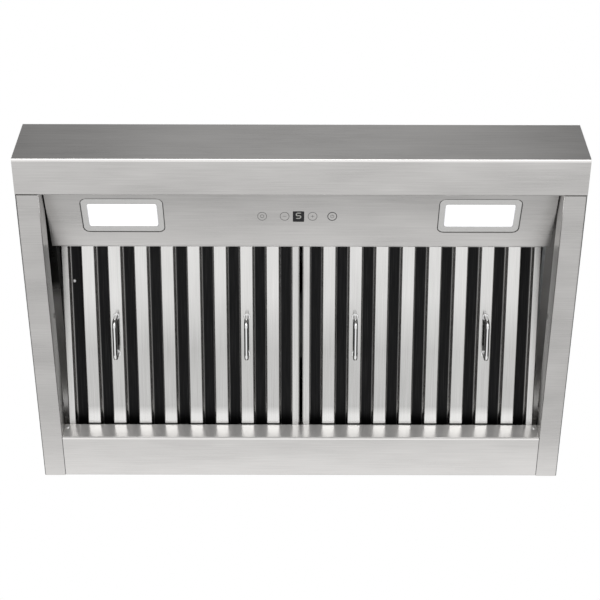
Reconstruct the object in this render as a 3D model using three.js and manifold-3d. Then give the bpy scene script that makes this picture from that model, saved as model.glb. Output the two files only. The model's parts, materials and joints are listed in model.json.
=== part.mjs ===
// Range hood insert, 30 inch class, seen from below in its usual place over a cooktop.
// Millimetres. X runs left to right, Y from the front face to the rear, Z up from the rim.
import * as THREE from 'three';
import { mergeVertices } from 'three/addons/utils/BufferGeometryUtils.js';
import Module from 'manifold-3d';

const wasm = await Module();
wasm.setup();

// ---------------------------------------------------------------- driving dimensions
const GAP = 0.3; // clearance between pieces that touch

const CANOPY = {
  width: 760, // over the side panels
  depth: 526, // front face to rear face
  height: 106, // rim to the top of the walls
  sheet: 1.2,
  bend: 1, // inside radius of a fold
  lip: 53.5, // flat lip under the front edge
  lipStep: 36, // upright behind the lip
  sideRim: 31, // flat rim under each side panel
  sideReturn: 37, // upright on the inner edge of the side rim
  topFlange: 30, // inward flange along the top of the walls
  troughWidth: 70.3, // grease trough along the rear
  troughHeight: 32, // its front wall
  roofInset: 8, // roof sheet set back from the outer faces
};
const SIDE_HOLES = { places: [264, 427], height: 31, screw: 5, access: 9.5 };

const CHAMBER = {
  sideInset: 30, // end walls of the upper box, from the outer faces of the canopy
  frontInset: 18, // its front wall, ahead of the lamp panel's rear edge
  rearInset: 14, // its rear wall, from the rear face
  top: 290, // its top, from the rim
  foot: 12, // outward flange it stands on
  throat: 4, // roof opening inside its end walls, and behind the lamp panel
  throatRear: 6, // and inside its rear wall
};

const PANEL = {
  frontHeight: 25.4, // underside at its front edge
  rearHeight: 61.5, // underside at its rear edge
  rear: 168, // rear edge, from the front face
  sideGap: 1.5, // to the side rim's upright
  frontFlange: 12,
  sideFlange: 24,
};

const LAMP = {
  inset: 103.5, // centre, from the side edge of the panel
  along: 56.8, // centre, up the slope of the panel
  width: 112,
  height: 65,
  corner: 8.5,
  windowWidth: 95,
  windowHeight: 44,
  windowCorner: 3,
  groove: 0.8, // gap round the bezel
  bezel: 3, // its thickness
  flange: 6, // its hidden flange
  recess: 0.9, // lens face behind the bezel's face
  lens: 2, // thickness of the lens flange
  lensFlange: 4,
  housing: 21, // depth of the can
  housingOver: 2, // can past the bezel's opening in the panel
  housingSheet: 1.2,
  board: 1.6,
  boardInset: 3,
};

const DISPLAY = {
  width: 15,
  height: 20.4,
  toLeft: 3.6, // off the middle of the panel
  along: 58.2,
  corner: 0.8,
  recess: 0.1,
  glass: 2.4,
};
const TOUCH_BOARD = { width: 128, height: 40, corner: 3, thickness: 1.6, standoff: 3, post: 6 };
const CONTROL_BOX = { width: 140, depth: 76, height: 30, wall: 1.5, lid: 1.5, toRear: 18 };

const FILTER = {
  slope: Math.atan(0.2507), // front end up
  between: 4.9, // gap between the two filters
  sidePlay: 6, // gap to the side rims' uprights
  frontPlay: 4.9, // front end to the lamp panel's rear edge
  baffles: 8,
  flat: 18.8, // face of a baffle
  sideFlat: 9.8, // face of a side channel
  sheet: 0.8,
  bend: 0.6,
  behind: 22, // hinge line to the rear end
  thickness: 22.6,
  rest: 0.42, // underside to the trough wall's edge
  endFlange: 10,
  weld: 9, // end of a face baffle inside the front and rear ends
  faceFlange: 11, // upright edges of a face baffle
  hook: 2.4, // inward curl on top of them
  lap: 4.1, // back baffles past the edges of the slots
  backRadius: 9, // its rolled shoulders
  backLow: 6, // its lower edges, above the hinge line
  strap: 14, // tie straps across the back baffles
  strapSheet: 1.3,
  strapWeld: 0.1, // sunk into the back baffles
};

const HANDLE = {
  wire: 5.6,
  length: 60,
  standoff: 27,
  radius: 9,
  along: -142, // middle, from the hinge line
  collar: 9.6,
  collarHeight: 1.4,
  baffles: [1, 6], // the baffles that carry one
};
const CATCH = {
  width: 18,
  sheet: 0.8,
  bend: 1.5,
  spread: 91, // from the middle of its filter
  below: 12, // top of the walls to the point nearest the filter
  clearance: 0.6, // to the path of the filter's corner
  foot: 22, // apex down to the lower end
  heel: 12, // apex down to where the bow begins
  tail: 8, // apex up to the free end
  lift: 2, // free end off the panel
};

const BLOWER = {
  toRear: 127, // shaft to the rear wall of the upper box
  below: 91, // shaft to its top
  wheelRadius: 66,
  bladeDepth: 12, // along the radius
  wheelPlay: 6, // end of the wheel to the side plates
  blades: 24,
  blade: 0.9,
  hub: 12,
  hubLength: 24,
  disc: 1.6,
  bladeLean: 0.2, // sweep of a blade, in radians
  ringWidth: 6,
  ringDepth: 5,
  tongue: 7, // wheel to the scroll where it starts
  scrollGrowth: 32, // from there to the outlet
  outletDepth: 100,
  width: 128, // between the side plates
  sheet: 1,
  plateFlange: 5, // side plates overhang the wrap
  inlet: 57, // radius of each inlet
  mouth: 5, // turned-in bell mouth
  mouthDraw: 2, // how far it narrows
  shaft: 4, // radius
  shaftLeft: 16, // its free end, from the middle of the wheel
  motorRadius: 39,
  motorPlay: 3.3, // motor to the hub
  motorShoulder: 7, // rounding of the motor's cover, along the radius
  motorCover: 8, // and along the shaft
  motorNose: 12, // radius of its bearing seats
  motorNoseLength: 4,
  endDepth: 6, // closed end behind the shaft
  spider: 2, // thickness of the motor bracket
  spiderHub: 24,
  arms: 3,
  armWidth: 14,
  armReach: 10, // past the inlet
  armTurn: 0.5, // of the first arm, in radians
};

const DUCT = {
  radius: 75, // outer, six inch duct
  wall: 1,
  height: 39,
  flangeWidth: 15,
  flangeSheet: 1.2,
  damperHeight: 15, // hinge rod above the flange
  rodRadius: 2,
  rodEnd: 3, // past the collar
  knuckleRadius: 3.6,
  knuckleWidth: 20,
  frontKnuckles: 48, // from the middle of the rod
  rearKnuckles: 22,
  flapSheet: 0.8,
  flapPlay: 1.6, // edge of a flap to the collar
  flapInset: 4.3, // straight edge of a flap to the rod's axis
  ledgeWidth: 4.5, // stop under the flaps
  ledgeSheet: 1,
  beadDepth: 1.4,
  beadBelow: 8, // its middle, from the top edge
};

const CAPACITOR = {
  toSide: 200, // its near end, from the end wall of the upper box
  toFront: 100, // its axis, from the front wall
  radius: 16,
  length: 52,
  strap: 1.2,
  strapWidth: 12,
  strapFoot: 14,
};
const JUNCTION = { toSide: 120, toRear: 57, width: 96, depth: 70, height: 42, wall: 1.2 };
const BUSHING = { radius: 11, bore: 6.5, lip: 3, lipSheet: 2 };
const LEAD = { radius: 3, mainRadius: 3.5, sides: 6, step: 10 };
const SUPPLY = {
  beside: 34, // its rise, from the side of the control box
  ahead: 10, // and from the front wall of the upper box
  ceiling: 12, // below the top of the upper box
  holeRoom: 2, // round it, in the roof
};

// ---------------------------------------------------------------- derived places
const halfWidth = CANOPY.width / 2;
const rimInner = halfWidth - CANOPY.sideRim;
const troughWall = CANOPY.depth - CANOPY.troughWidth;
const wallInside = halfWidth - CANOPY.sheet - GAP;
const roofUnder = CANOPY.height + GAP;
const roofTop = roofUnder + CANOPY.sheet;
const chamberHalf = halfWidth - CHAMBER.sideInset;
const chamberFront = PANEL.rear - CHAMBER.frontInset;
const chamberRear = CANOPY.depth - CHAMBER.rearInset;
const chamberCeiling = CHAMBER.top - CANOPY.sheet;
const footTop = roofTop + GAP + CANOPY.sheet;
const lipBack = CANOPY.lip + GAP;
const panelSlope = Math.atan2(PANEL.rearHeight - PANEL.frontHeight, PANEL.rear - lipBack);
const panelHalf = rimInner - PANEL.sideGap;
const lampOffset = panelHalf - LAMP.inset;
const hingeY = troughWall + CANOPY.sheet / 2;
const hingeZ = CANOPY.troughHeight - CANOPY.sheet / 2;
const filterWidth = rimInner - FILTER.sidePlay - FILTER.between / 2;
const filterOffset = (FILTER.between + filterWidth) / 2;
const filterAhead = Math.hypot(hingeY - PANEL.rear, PANEL.rearHeight - hingeZ) - FILTER.frontPlay;
const filterSeat = (CANOPY.sheet / 2) * (Math.cos(FILTER.slope) + Math.sin(FILTER.slope)) + FILTER.rest;
const slotWidth =
  (filterWidth - 2 * FILTER.sideFlat - FILTER.baffles * FILTER.flat) / (FILTER.baffles + 1);
const bafflePitch = FILTER.flat + slotWidth;
const wheelHalf = BLOWER.width / 2 - BLOWER.wheelPlay;
const scrollStart = BLOWER.wheelRadius + BLOWER.tongue;
const scrollEnd = scrollStart + BLOWER.scrollGrowth;
const shaftY = chamberRear - BLOWER.toRear;
const shaftZ = CHAMBER.top - BLOWER.below;
const ductY = shaftY - scrollEnd + BLOWER.outletDepth / 2;
const capacitorX = chamberHalf - CAPACITOR.toSide;
const capacitorY = chamberFront + CAPACITOR.toFront;
const junctionX = chamberHalf - JUNCTION.toSide;
const junctionY = chamberRear - JUNCTION.toRear;
const shaftBore = BLOWER.shaft + GAP;
const ductInner = DUCT.radius - DUCT.wall;
const bushingHole = BUSHING.radius + GAP;
const supplyX = CONTROL_BOX.width / 2 + SUPPLY.beside;
const supplyY = chamberFront + SUPPLY.ahead;
const voluteOuter = BLOWER.width / 2 + GAP + BLOWER.sheet;
const bracketOuter = voluteOuter + GAP + BLOWER.spider;
const overcut = 5; // how far a cutting shape passes the faces that it cuts

// ---------------------------------------------------------------- materials
const finish = (color, roughness, metalness, extra = {}) =>
  new THREE.MeshStandardMaterial({ color, roughness, metalness, ...extra });
const brushed = finish(0xb9b7b4, 0.38, 1);
const polished = finish(0xd2d1cf, 0.16, 1);
const backSteel = finish(0x4a4a4a, 0.35, 1);
const chrome = finish(0xe6e6e6, 0.06, 1);
const zinc = finish(0x9ca0a3, 0.5, 1);
const spring = finish(0xa8a8a6, 0.3, 1);
const glow = finish(0xffffff, 0.5, 0, { emissive: 0xffffff });
const blackGlass = finish(0x101112, 0.12, 0);
const circuit = finish(0x1f5a38, 0.55, 0);
const blackPaint = finish(0x232425, 0.5, 0.2);
const greyPlastic = finish(0xc9c9c4, 0.55, 0);
const wheelBlack = finish(0x2b2c2e, 0.45, 0.1);
const rubber = finish(0x1b1b1b, 0.8, 0);
const insulation = finish(0x5a5d60, 0.6, 0);

// ---------------------------------------------------------------- outlines
const FOLD_STEPS = 2;
const leftOf = (direction) => new THREE.Vector2(-direction.y, direction.x);

// Outline of a sheet folded along `face`, one of its faces. The sheet lies to the left of the line
// of travel where side is 1, to the right where it is -1. Folds get the inside radius `bend`.
function folded(face, thickness, bend = 0, side = 1, foldSteps = FOLD_STEPS) {
  const half = thickness / 2;
  const points = face.map(([a, b]) => new THREE.Vector2(a, b));
  const runs = points.slice(1).map((point, i) => point.clone().sub(points[i]).normalize());
  const reachAt = (i) => {
    const before = leftOf(runs[Math.max(i - 1, 0)]);
    const after = leftOf(runs[Math.min(i, runs.length - 1)]);
    const mitre = before.add(after).normalize();
    return mitre.divideScalar(mitre.dot(after));
  };
  const stations = [];
  points.forEach((point, i) => {
    const reach = reachAt(i);
    const corner = point.clone().addScaledVector(reach, side * half);
    const [into, out] = [runs[i - 1], runs[i]];
    if (!into || !out || bend === 0) {
      stations.push([corner, reach]);
      return;
    }
    const turn = Math.atan2(into.cross(out), into.dot(out));
    const radius = (bend + half) * Math.sign(turn);
    const start = corner.addScaledVector(into, -radius * Math.tan(turn / 2));
    const centre = start.addScaledVector(leftOf(into), radius);
    for (let step = 0; step <= foldSteps; step += 1) {
      const normal = leftOf(into).rotateAround(new THREE.Vector2(), (turn * step) / foldSteps);
      stations.push([centre.clone().addScaledVector(normal, -radius), normal]);
    }
  });
  const right = stations.map(([point, reach]) => point.clone().addScaledVector(reach, -half));
  const left = stations.map(([point, reach]) => point.clone().addScaledVector(reach, half));
  return new THREE.Shape([...right, ...left.reverse()]);
}

const polygon = (points) => new THREE.Shape(points.map(([a, b]) => new THREE.Vector2(a, b)));

const rectangle = (a0, a1, b0, b1) => polygon([[a0, b0], [a1, b0], [a1, b1], [a0, b1]]);

const arc = (a, b, radius, from, to, steps) =>
  Array.from({ length: steps + 1 }, (_, i) => {
    const angle = from + ((to - from) * i) / steps;
    return [a + radius * Math.cos(angle), b + radius * Math.sin(angle)];
  });

const circle = (radius, a = 0, b = 0, sides = 12) =>
  polygon(arc(a, b, radius, 0, (2 * Math.PI * (sides - 1)) / sides, sides - 1));

function roundedRectangle(width, height, radius, steps = 3) {
  const quarter = Math.PI / 2;
  const [inX, inY] = [width / 2 - radius, height / 2 - radius];
  const corners = [[1, 1], [-1, 1], [-1, -1], [1, -1]];
  return polygon(
    corners.flatMap(([a, b], i) =>
      arc(a * inX, b * inY, radius, i * quarter, (i + 1) * quarter, steps),
    ),
  );
}

// A rounded rectangle with `margin` added on every side, or taken off where it is negative.
const grown = (width, height, radius, margin) =>
  roundedRectangle(width + 2 * margin, height + 2 * margin, radius + margin);

function pierced(shape, ...holes) {
  shape.holes.push(...holes);
  return shape;
}

// ---------------------------------------------------------------- solids
const [AXIS_X, AXIS_Y, AXIS_Z] = [[1, 0, 0], [0, 1, 0], [0, 0, 1]].map((v) => new THREE.Vector3(...v));
const YZ_TO_X = new THREE.Matrix4().makeBasis(AXIS_Y, AXIS_Z, AXIS_X);
const XZ_TO_Y = new THREE.Matrix4().makeBasis(AXIS_X, AXIS_Z, AXIS_Y.clone().negate());

const prism = (shape, depth) => new THREE.ExtrudeGeometry(shape, { depth, bevelEnabled: false });

// A shape drawn in Y and Z, pushed along X.
const alongX = (shape, x0, x1) => prism(shape, x1 - x0).applyMatrix4(YZ_TO_X).translate(x0, 0, 0);

// A shape drawn in X and Z, pushed along Y.
const alongY = (shape, y0, y1) => prism(shape, y1 - y0).applyMatrix4(XZ_TO_Y).translate(0, y1, 0);

// A shape drawn in X and Y, pushed along Z.
const alongZ = (shape, z0, z1) => prism(shape, z1 - z0).translate(0, 0, z0);

const box = (x0, x1, y0, y1, z0, z1) =>
  new THREE.BoxGeometry(x1 - x0, y1 - y0, z1 - z0).translate((x0 + x1) / 2, (y0 + y1) / 2, (z0 + z1) / 2);

function toSolid(geometry) {
  const bare = geometry.clone();
  bare.deleteAttribute('normal');
  bare.deleteAttribute('uv');
  const merged = mergeVertices(bare, 1e-4);
  const vertProperties = new Float32Array(merged.attributes.position.array);
  const triVerts = new Uint32Array(merged.index.array);
  return new wasm.Manifold(new wasm.Mesh({ numProp: 3, vertProperties, triVerts }));
}

function toGeometry(solid) {
  const { vertProperties, triVerts, numProp } = solid.getMesh();
  const geometry = new THREE.BufferGeometry();
  const positions = new Float32Array(vertProperties).filter((_, i) => i % numProp < 3);
  geometry.setAttribute('position', new THREE.BufferAttribute(positions, 3));
  geometry.setIndex([...triVerts]);
  geometry.computeVertexNormals();
  return geometry;
}

const cut = (base, ...tools) =>
  toGeometry(tools.reduce((solid, tool) => solid.subtract(toSolid(tool)), toSolid(base)));

const join = (...pieces) => toGeometry(pieces.map(toSolid).reduce((sum, piece) => sum.add(piece)));

// A ring or turned piece about Z, from a closed profile of [radius, height] points.
const turned = (profile, segments) =>
  new THREE.LatheGeometry([...profile, profile[0]].map(([r, z]) => new THREE.Vector2(r, z)), segments)
    .rotateX(Math.PI / 2);

// Turns a piece made about Z so that it stands about X.
const aboutX = (geometry) => geometry.rotateY(Math.PI / 2);

const ROUND = 24; // sides of a large turned ring

// A wire of constant section along a curve.
function wire(curve, radius, sides, steps) {
  const section = new THREE.Shape(
    Array.from({ length: sides }, (_, i) => {
      const angle = (2 * Math.PI * i) / sides;
      return new THREE.Vector2(radius * Math.cos(angle), radius * Math.sin(angle));
    }),
  );
  return new THREE.ExtrudeGeometry(section, { steps, extrudePath: curve });
}

function piece(name, geometry, material) {
  const mesh = new THREE.Mesh(geometry, material);
  mesh.name = name;
  return mesh;
}

// The same shape on the other side of the hood, its faces turned back to point outwards.
function mirrored(geometry) {
  const copy = geometry.clone().scale(-1, 1, 1);
  const index = [...copy.index.array];
  for (let i = 0; i < index.length; i += 3) {
    [index[i], index[i + 1]] = [index[i + 1], index[i]];
  }
  copy.setIndex(index);
  copy.computeVertexNormals();
  return copy;
}

const SIDES = [['left', -1], ['right', 1]];
const ordered = (a, b) => (a < b ? [a, b] : [b, a]);
const around = (x, width) => [x - width / 2, x + width / 2];

// ---------------------------------------------------------------- canopy
function frontPanel() {
  const { height, lip, lipStep, topFlange, sheet, bend } = CANOPY;
  const face = [[topFlange, height], [0, height], [0, 0], [lip, 0], [lip, lipStep]];
  const shell = alongX(folded(face, sheet, bend, 1, 4), -halfWidth, halfWidth);
  const inside = sheet + GAP;
  const notches = SIDES.map(([, side]) => {
    const [near, far] = ordered(side * wallInside, side * (halfWidth + overcut));
    return box(near, far, inside, CANOPY.depth, inside, height + overcut);
  });
  return piece('front_panel', cut(shell, ...notches), brushed);
}

// Right-hand side panel; the left one is its mirror image.
function sidePanelGeometry() {
  const { height, sheet, bend, topFlange, depth, sideReturn } = CANOPY;
  const face = [
    [halfWidth - topFlange, height],
    [halfWidth, height],
    [halfWidth, 0],
    [rimInner, 0],
    [rimInner, sideReturn],
  ];
  const shell = alongY(folded(face, sheet, bend, -1), sheet + GAP, depth);
  const past = halfWidth + overcut;
  const overLip = box(0, past, 0, lipBack, -overcut, sheet + GAP);
  const besideStep = box(0, wallInside, 0, lipBack, -overcut, sideReturn + overcut);
  const [flangeUnder, flangeOver] = [height - sheet - GAP, height + overcut];
  const underFrontFlange = box(0, past, 0, topFlange + GAP, flangeUnder, flangeOver);
  const underRearFlange = box(0, past, depth - topFlange - GAP, depth + overcut, flangeUnder, flangeOver);
  const holes = SIDE_HOLES.places.flatMap((y) => [
    alongX(circle(SIDE_HOLES.screw / 2, y, SIDE_HOLES.height), ...around(halfWidth, 2 * overcut)),
    alongX(circle(SIDE_HOLES.access / 2, y, SIDE_HOLES.height), ...around(rimInner, 2 * overcut)),
  ]);
  return cut(shell, overLip, besideStep, underFrontFlange, underRearFlange, ...holes);
}

function rearPanel() {
  const { height, depth, sheet, bend, topFlange, troughHeight, sideReturn } = CANOPY;
  const face = [
    [troughWall, troughHeight],
    [troughWall, 0],
    [depth, 0],
    [depth, height],
    [depth - topFlange, height],
  ];
  const shell = alongX(folded(face, sheet, bend), -wallInside, wallInside);
  const beside = SIDES.map(([, side]) => {
    const [near, far] = ordered(side * (rimInner - GAP), side * halfWidth);
    return box(near, far, 0, depth + overcut, -overcut, sideReturn + GAP);
  });
  return piece('rear_panel', cut(shell, ...beside), brushed);
}

function roofPanel() {
  const { roofInset, depth } = CANOPY;
  const half = halfWidth - roofInset;
  const throat = chamberHalf - CHAMBER.throat;
  const sheet = rectangle(-half, half, roofInset, depth - roofInset);
  const opening = rectangle(-throat, throat, PANEL.rear + CHAMBER.throat, chamberRear - CHAMBER.throatRear);
  const leadHole = circle(LEAD.mainRadius + SUPPLY.holeRoom, supplyX, supplyY);
  return piece('roof_panel', alongZ(pierced(sheet, opening, leadHole), roofUnder, roofTop), zinc);
}

// ---------------------------------------------------------------- upper box
function chamberWrap() {
  const { top, foot } = CHAMBER;
  const face = [
    [chamberFront - foot, footTop],
    [chamberFront, footTop],
    [chamberFront, top],
    [chamberRear, top],
    [chamberRear, footTop],
    [chamberRear + foot, footTop],
  ];
  const half = chamberHalf - CANOPY.sheet - GAP;
  const shell = alongX(folded(face, CANOPY.sheet, CANOPY.bend, -1), -half, half);
  const through = (shape) => alongZ(shape, ...around(top, 2 * overcut));
  const ductHole = through(circle(ductInner, 0, ductY, 28));
  const wireHole = through(circle(bushingHole, junctionX, junctionY, 16));
  return piece('chamber_wrap', cut(shell, ductHole, wireHole), zinc);
}

function chamberEnd(name, side) {
  const outer = side * chamberHalf;
  const face = [[outer + side * CHAMBER.foot, footTop], [outer, footTop], [outer, CHAMBER.top]];
  const sheet = folded(face, CANOPY.sheet, CANOPY.bend, side);
  return piece(name, alongY(sheet, chamberFront, chamberRear), zinc);
}

// ---------------------------------------------------------------- lamp and control panel
// Frame of the sloped panel: origin on its front edge, local Y up the slope, local Z away from the cooktop.
function panelFrame() {
  const group = new THREE.Group();
  group.position.set(0, lipBack, PANEL.frontHeight);
  group.rotation.x = panelSlope;
  group.updateMatrix();
  return group;
}

function lampPanel() {
  const { frontHeight, rearHeight, rear, frontFlange, sideFlange } = PANEL;
  const { sheet, bend } = CANOPY;
  const face = [
    [lipBack, frontHeight + frontFlange],
    [lipBack, frontHeight],
    [rear, rearHeight],
    [rear, CANOPY.height],
  ];
  const skin = alongX(folded(face, sheet, bend), -panelHalf, panelHalf);
  const cheek = [
    [lipBack + sheet, frontHeight + sheet],
    [rear - sheet / 2, rearHeight + sheet / 2],
    [rear - sheet / 2, rearHeight + sideFlange],
    [lipBack + sheet, frontHeight + sideFlange],
  ];
  const cheeks = [-panelHalf, panelHalf - sheet].map((x) => alongX(polygon(cheek), x, x + sheet));
  const slope = panelFrame().matrix;
  const through = (shape, x, v) => alongZ(shape, -overcut, overcut).translate(x, v, 0).applyMatrix4(slope);
  const lampHole = () => grown(LAMP.width, LAMP.height, LAMP.corner, LAMP.groove);
  const displayHole = grown(DISPLAY.width, DISPLAY.height, DISPLAY.corner, GAP);
  const tools = SIDES.map(([, side]) => through(lampHole(), side * lampOffset, LAMP.along));
  tools.push(through(displayHole, -DISPLAY.toLeft, DISPLAY.along));
  return piece('lamp_panel', cut(join(skin, ...cheeks), ...tools), brushed);
}

function lampPieces(hand, side) {
  const { width, height, corner, flange, bezel, housingOver, housingSheet, boardInset } = LAMP;
  const seat = CANOPY.sheet + GAP;
  const window = (margin) => grown(LAMP.windowWidth, LAMP.windowHeight, LAMP.windowCorner, margin);
  const rim = alongZ(pierced(roundedRectangle(width, height, corner), window(0)), 0, bezel);
  const hidden = grown(width, height, corner, flange);
  const bezelSolid = join(rim, alongZ(pierced(hidden, window(0)), seat, bezel));
  const canBase = bezel + GAP;
  const canTop = canBase + LAMP.housing;
  const lens = join(
    alongZ(window(-GAP), LAMP.recess, canBase + LAMP.lens),
    alongZ(window(LAMP.lensFlange), canBase, canBase + LAMP.lens),
  );
  const ceiling = canTop - housingSheet;
  const can = cut(
    alongZ(grown(width, height, corner, housingOver), canBase, canTop),
    alongZ(grown(width, height, corner, housingOver - housingSheet), canBase - overcut, ceiling),
  );
  const boardTop = ceiling - GAP;
  const board = alongZ(grown(width, height, corner, -boardInset), boardTop - LAMP.board, boardTop);
  const pieces = [
    piece(`${hand}_lamp_bezel`, bezelSolid, polished),
    piece(`${hand}_lamp_lens`, lens, glow),
    piece(`${hand}_lamp_housing`, can, zinc),
    piece(`${hand}_lamp_led_board`, board, circuit),
  ];
  pieces.forEach((mesh) => mesh.position.set(side * lampOffset, LAMP.along, 0));
  return pieces;
}

function touchControls() {
  const seat = CANOPY.sheet + GAP;
  const window = roundedRectangle(DISPLAY.width, DISPLAY.height, DISPLAY.corner);
  const glass = alongZ(window, DISPLAY.recess, DISPLAY.glass);
  const { width, height, corner, thickness, standoff, post } = TOUCH_BOARD;
  const low = seat + standoff;
  const board = alongZ(roundedRectangle(width, height, corner), low, low + thickness);
  const posts = SIDES.map(([, side]) =>
    alongZ(circle(post / 2, side * (width / 2 - post), 0, 10), seat, low + thickness / 2),
  );
  const glassMesh = piece('display_window', glass, blackGlass);
  const boardMesh = piece('touch_board', join(board, ...posts), circuit);
  [glassMesh, boardMesh].forEach((mesh) => mesh.position.set(-DISPLAY.toLeft, DISPLAY.along, 0));
  return [glassMesh, boardMesh];
}

function controlBox() {
  const { width, depth, height, wall, lid, toRear } = CONTROL_BOX;
  const rear = PANEL.rear - toRear;
  const front = rear - depth;
  const top = CANOPY.height;
  const bottom = top - height;
  const half = width / 2;
  const shell = cut(
    box(-half, half, front, rear, bottom, top),
    box(-half + wall, half - wall, front + wall, rear - wall, bottom - overcut, top - wall),
  );
  const cover = box(-half, half, front, rear, bottom - GAP - lid, bottom - GAP);
  return [piece('control_box', shell, greyPlastic), piece('control_box_lid', cover, greyPlastic)];
}

// ---------------------------------------------------------------- filters
// Frame of a filter: origin on its hinge line, local Y back down the slope, local Z up through it.
function filterFrame() {
  const group = new THREE.Group();
  group.position.set(0, hingeY, hingeZ);
  group.rotation.x = -FILTER.slope;
  return group;
}

const filterTop = filterSeat + FILTER.thickness;
const channelHalf = filterWidth / 2 - FILTER.sheet - GAP;
const baffleCentre = (index) => (index - (FILTER.baffles - 1) / 2) * bafflePitch;
const slotCentre = (index) => (index - FILTER.baffles / 2) * bafflePitch;

// Channels across the front and rear ends, with the face baffles welded between them.
function faceRow() {
  const { behind, sheet, bend, endFlange, flat, faceFlange, hook, weld } = FILTER;
  const endFace = (end, inward) => [
    [end + inward * endFlange, filterSeat],
    [end, filterSeat],
    [end, filterTop],
    [end + inward * endFlange, filterTop],
  ];
  const frontEnd = alongX(folded(endFace(-filterAhead, 1), sheet, bend, -1), -channelHalf, channelHalf);
  const rearEnd = alongX(folded(endFace(behind, -1), sheet, bend, 1), -channelHalf, channelHalf);
  const top = filterSeat + faceFlange;
  const section = (x) => [
    [x - flat / 2 + hook, top],
    [x - flat / 2, top],
    [x - flat / 2, filterSeat],
    [x + flat / 2, filterSeat],
    [x + flat / 2, top],
    [x + flat / 2 - hook, top],
  ];
  const baffles = Array.from({ length: FILTER.baffles }, (_, i) =>
    alongY(folded(section(baffleCentre(i)), sheet, bend, 1, 1), weld - filterAhead, behind - weld),
  );
  return join(frontEnd, rearEnd, ...baffles);
}

// Arched back baffles over the slots of the face row, tied together by two straps.
function backRow() {
  const { behind, sheet, backRadius, backLow, strap, strapSheet, endFlange } = FILTER;
  const backHalf = slotWidth / 2 + FILTER.lap;
  const inset = sheet + GAP;
  const [front, rear] = [inset - filterAhead, behind - inset];
  const strapTop = filterTop - sheet - GAP;
  const webTop = strapTop - strapSheet + FILTER.strapWeld;
  const slots = FILTER.baffles + 1;
  const section = (x) => [
    [x - backHalf, backLow],
    [x - backHalf, webTop],
    [x + backHalf, webTop],
    [x + backHalf, backLow],
  ];
  const shoulder = backRadius - sheet;
  const arch = (x) => alongY(folded(section(x), sheet, shoulder, -1, 3), front, rear);
  const arches = Array.from({ length: slots }, (_, i) => arch(slotCentre(i)));
  const reach = slotCentre(slots - 1) + backHalf - backRadius;
  const straps = [endFlange / 2 - filterAhead, behind - endFlange / 2 - strap].map((v) =>
    box(-reach, reach, v, v + strap, strapTop - strapSheet, strapTop),
  );
  return join(...arches, ...straps);
}

function sideChannel(side) {
  const { behind, sheet, bend, sideFlat, endFlange } = FILTER;
  const outer = (side * filterWidth) / 2;
  const inner = outer - side * sideFlat;
  const face = [[inner, filterTop], [outer, filterTop], [outer, filterSeat], [inner, filterSeat]];
  const channel = alongY(folded(face, sheet, bend, -side, 1), -filterAhead, behind);
  const [near, far] = ordered(side * (channelHalf + GAP / 2), inner - side * overcut);
  const ends = [
    [-filterAhead - overcut, endFlange + GAP - filterAhead],
    [behind - endFlange - GAP, behind + overcut],
  ];
  return cut(channel, ...ends.map(([v0, v1]) => box(near, far, v0, v1, 0, filterTop + overcut)));
}

// A wire handle: two straight legs and a grip, joined by round corners, with a collar on each foot.
function handle() {
  const { length, standoff, radius, along, wire: diameter, collar, collarHeight } = HANDLE;
  const reach = (length - diameter) / 2;
  const foot = filterSeat - GAP;
  const low = filterSeat - standoff + diameter / 2;
  const at = (v, w) => new THREE.Vector3(0, along + v, w);
  const [bend, turn] = [low + radius, reach - radius];
  const path = new THREE.CurvePath();
  path.add(new THREE.LineCurve3(at(-reach, foot), at(-reach, bend)));
  path.add(new THREE.QuadraticBezierCurve3(at(-reach, bend), at(-reach, low), at(-turn, low)));
  path.add(new THREE.LineCurve3(at(-turn, low), at(turn, low)));
  path.add(new THREE.QuadraticBezierCurve3(at(turn, low), at(reach, low), at(reach, bend)));
  path.add(new THREE.LineCurve3(at(reach, bend), at(reach, foot)));
  const grip = wire(path, diameter / 2, 8, 16);
  const ring = (v) => alongZ(circle(collar / 2, 0, along + v, 10), foot - collarHeight, foot);
  return join(grip, ring(-reach), ring(reach));
}

function filterPieces(hand, side) {
  const centre = side * filterOffset;
  const name = (part) => `${hand}_filter_${part}`;
  const pieces = [
    piece(name('face_baffles'), faceRow(), polished),
    piece(name('back_baffles'), backRow(), backSteel),
    piece(name('outer_channel'), sideChannel(side), polished),
    piece(name('inner_channel'), sideChannel(-side), polished),
  ];
  HANDLE.baffles.forEach((index, order) => {
    const grip = piece(name(`handle_${order + 1}`), handle(), chrome);
    grip.position.x = baffleCentre(index);
    pieces.push(grip);
  });
  const group = new THREE.Group();
  group.position.x = centre;
  group.add(...pieces);
  return group;
}

// Bowed leaf springs on the rear face of the lamp panel, just clear of the filters' path.
function filterCatch(name, x) {
  const { width, sheet, bend, below, clearance, foot, heel, tail, lift } = CATCH;
  const apex = CANOPY.height - below;
  const corner = Math.hypot(filterAhead, filterTop);
  const reach = hingeY - Math.sqrt(corner ** 2 - (apex - hingeZ) ** 2) - clearance;
  const wall = PANEL.rear + GAP;
  const face = [[wall, apex - foot], [wall, apex - heel], [reach, apex], [wall + lift, apex + tail]];
  return piece(name, alongX(folded(face, sheet, bend, -1), ...around(x, width)), spring);
}

// ---------------------------------------------------------------- blower
// The scroll in the Y Z plane: radius grows evenly with the logarithm, from the tongue on top, by way
// of the rear, the bottom and the front, to the outlet.
function scrollPoints(grow) {
  const sweep = 1.5 * Math.PI; // three quarters of a turn
  const steps = 18;
  const rate = Math.log(scrollEnd / scrollStart) / sweep;
  return Array.from({ length: steps + 1 }, (_, i) => {
    const angle = (sweep * i) / steps;
    const radius = scrollStart * Math.exp(rate * angle) + grow;
    return [shaftY + radius * Math.sin(angle), shaftZ + radius * Math.cos(angle)];
  });
}

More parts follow.
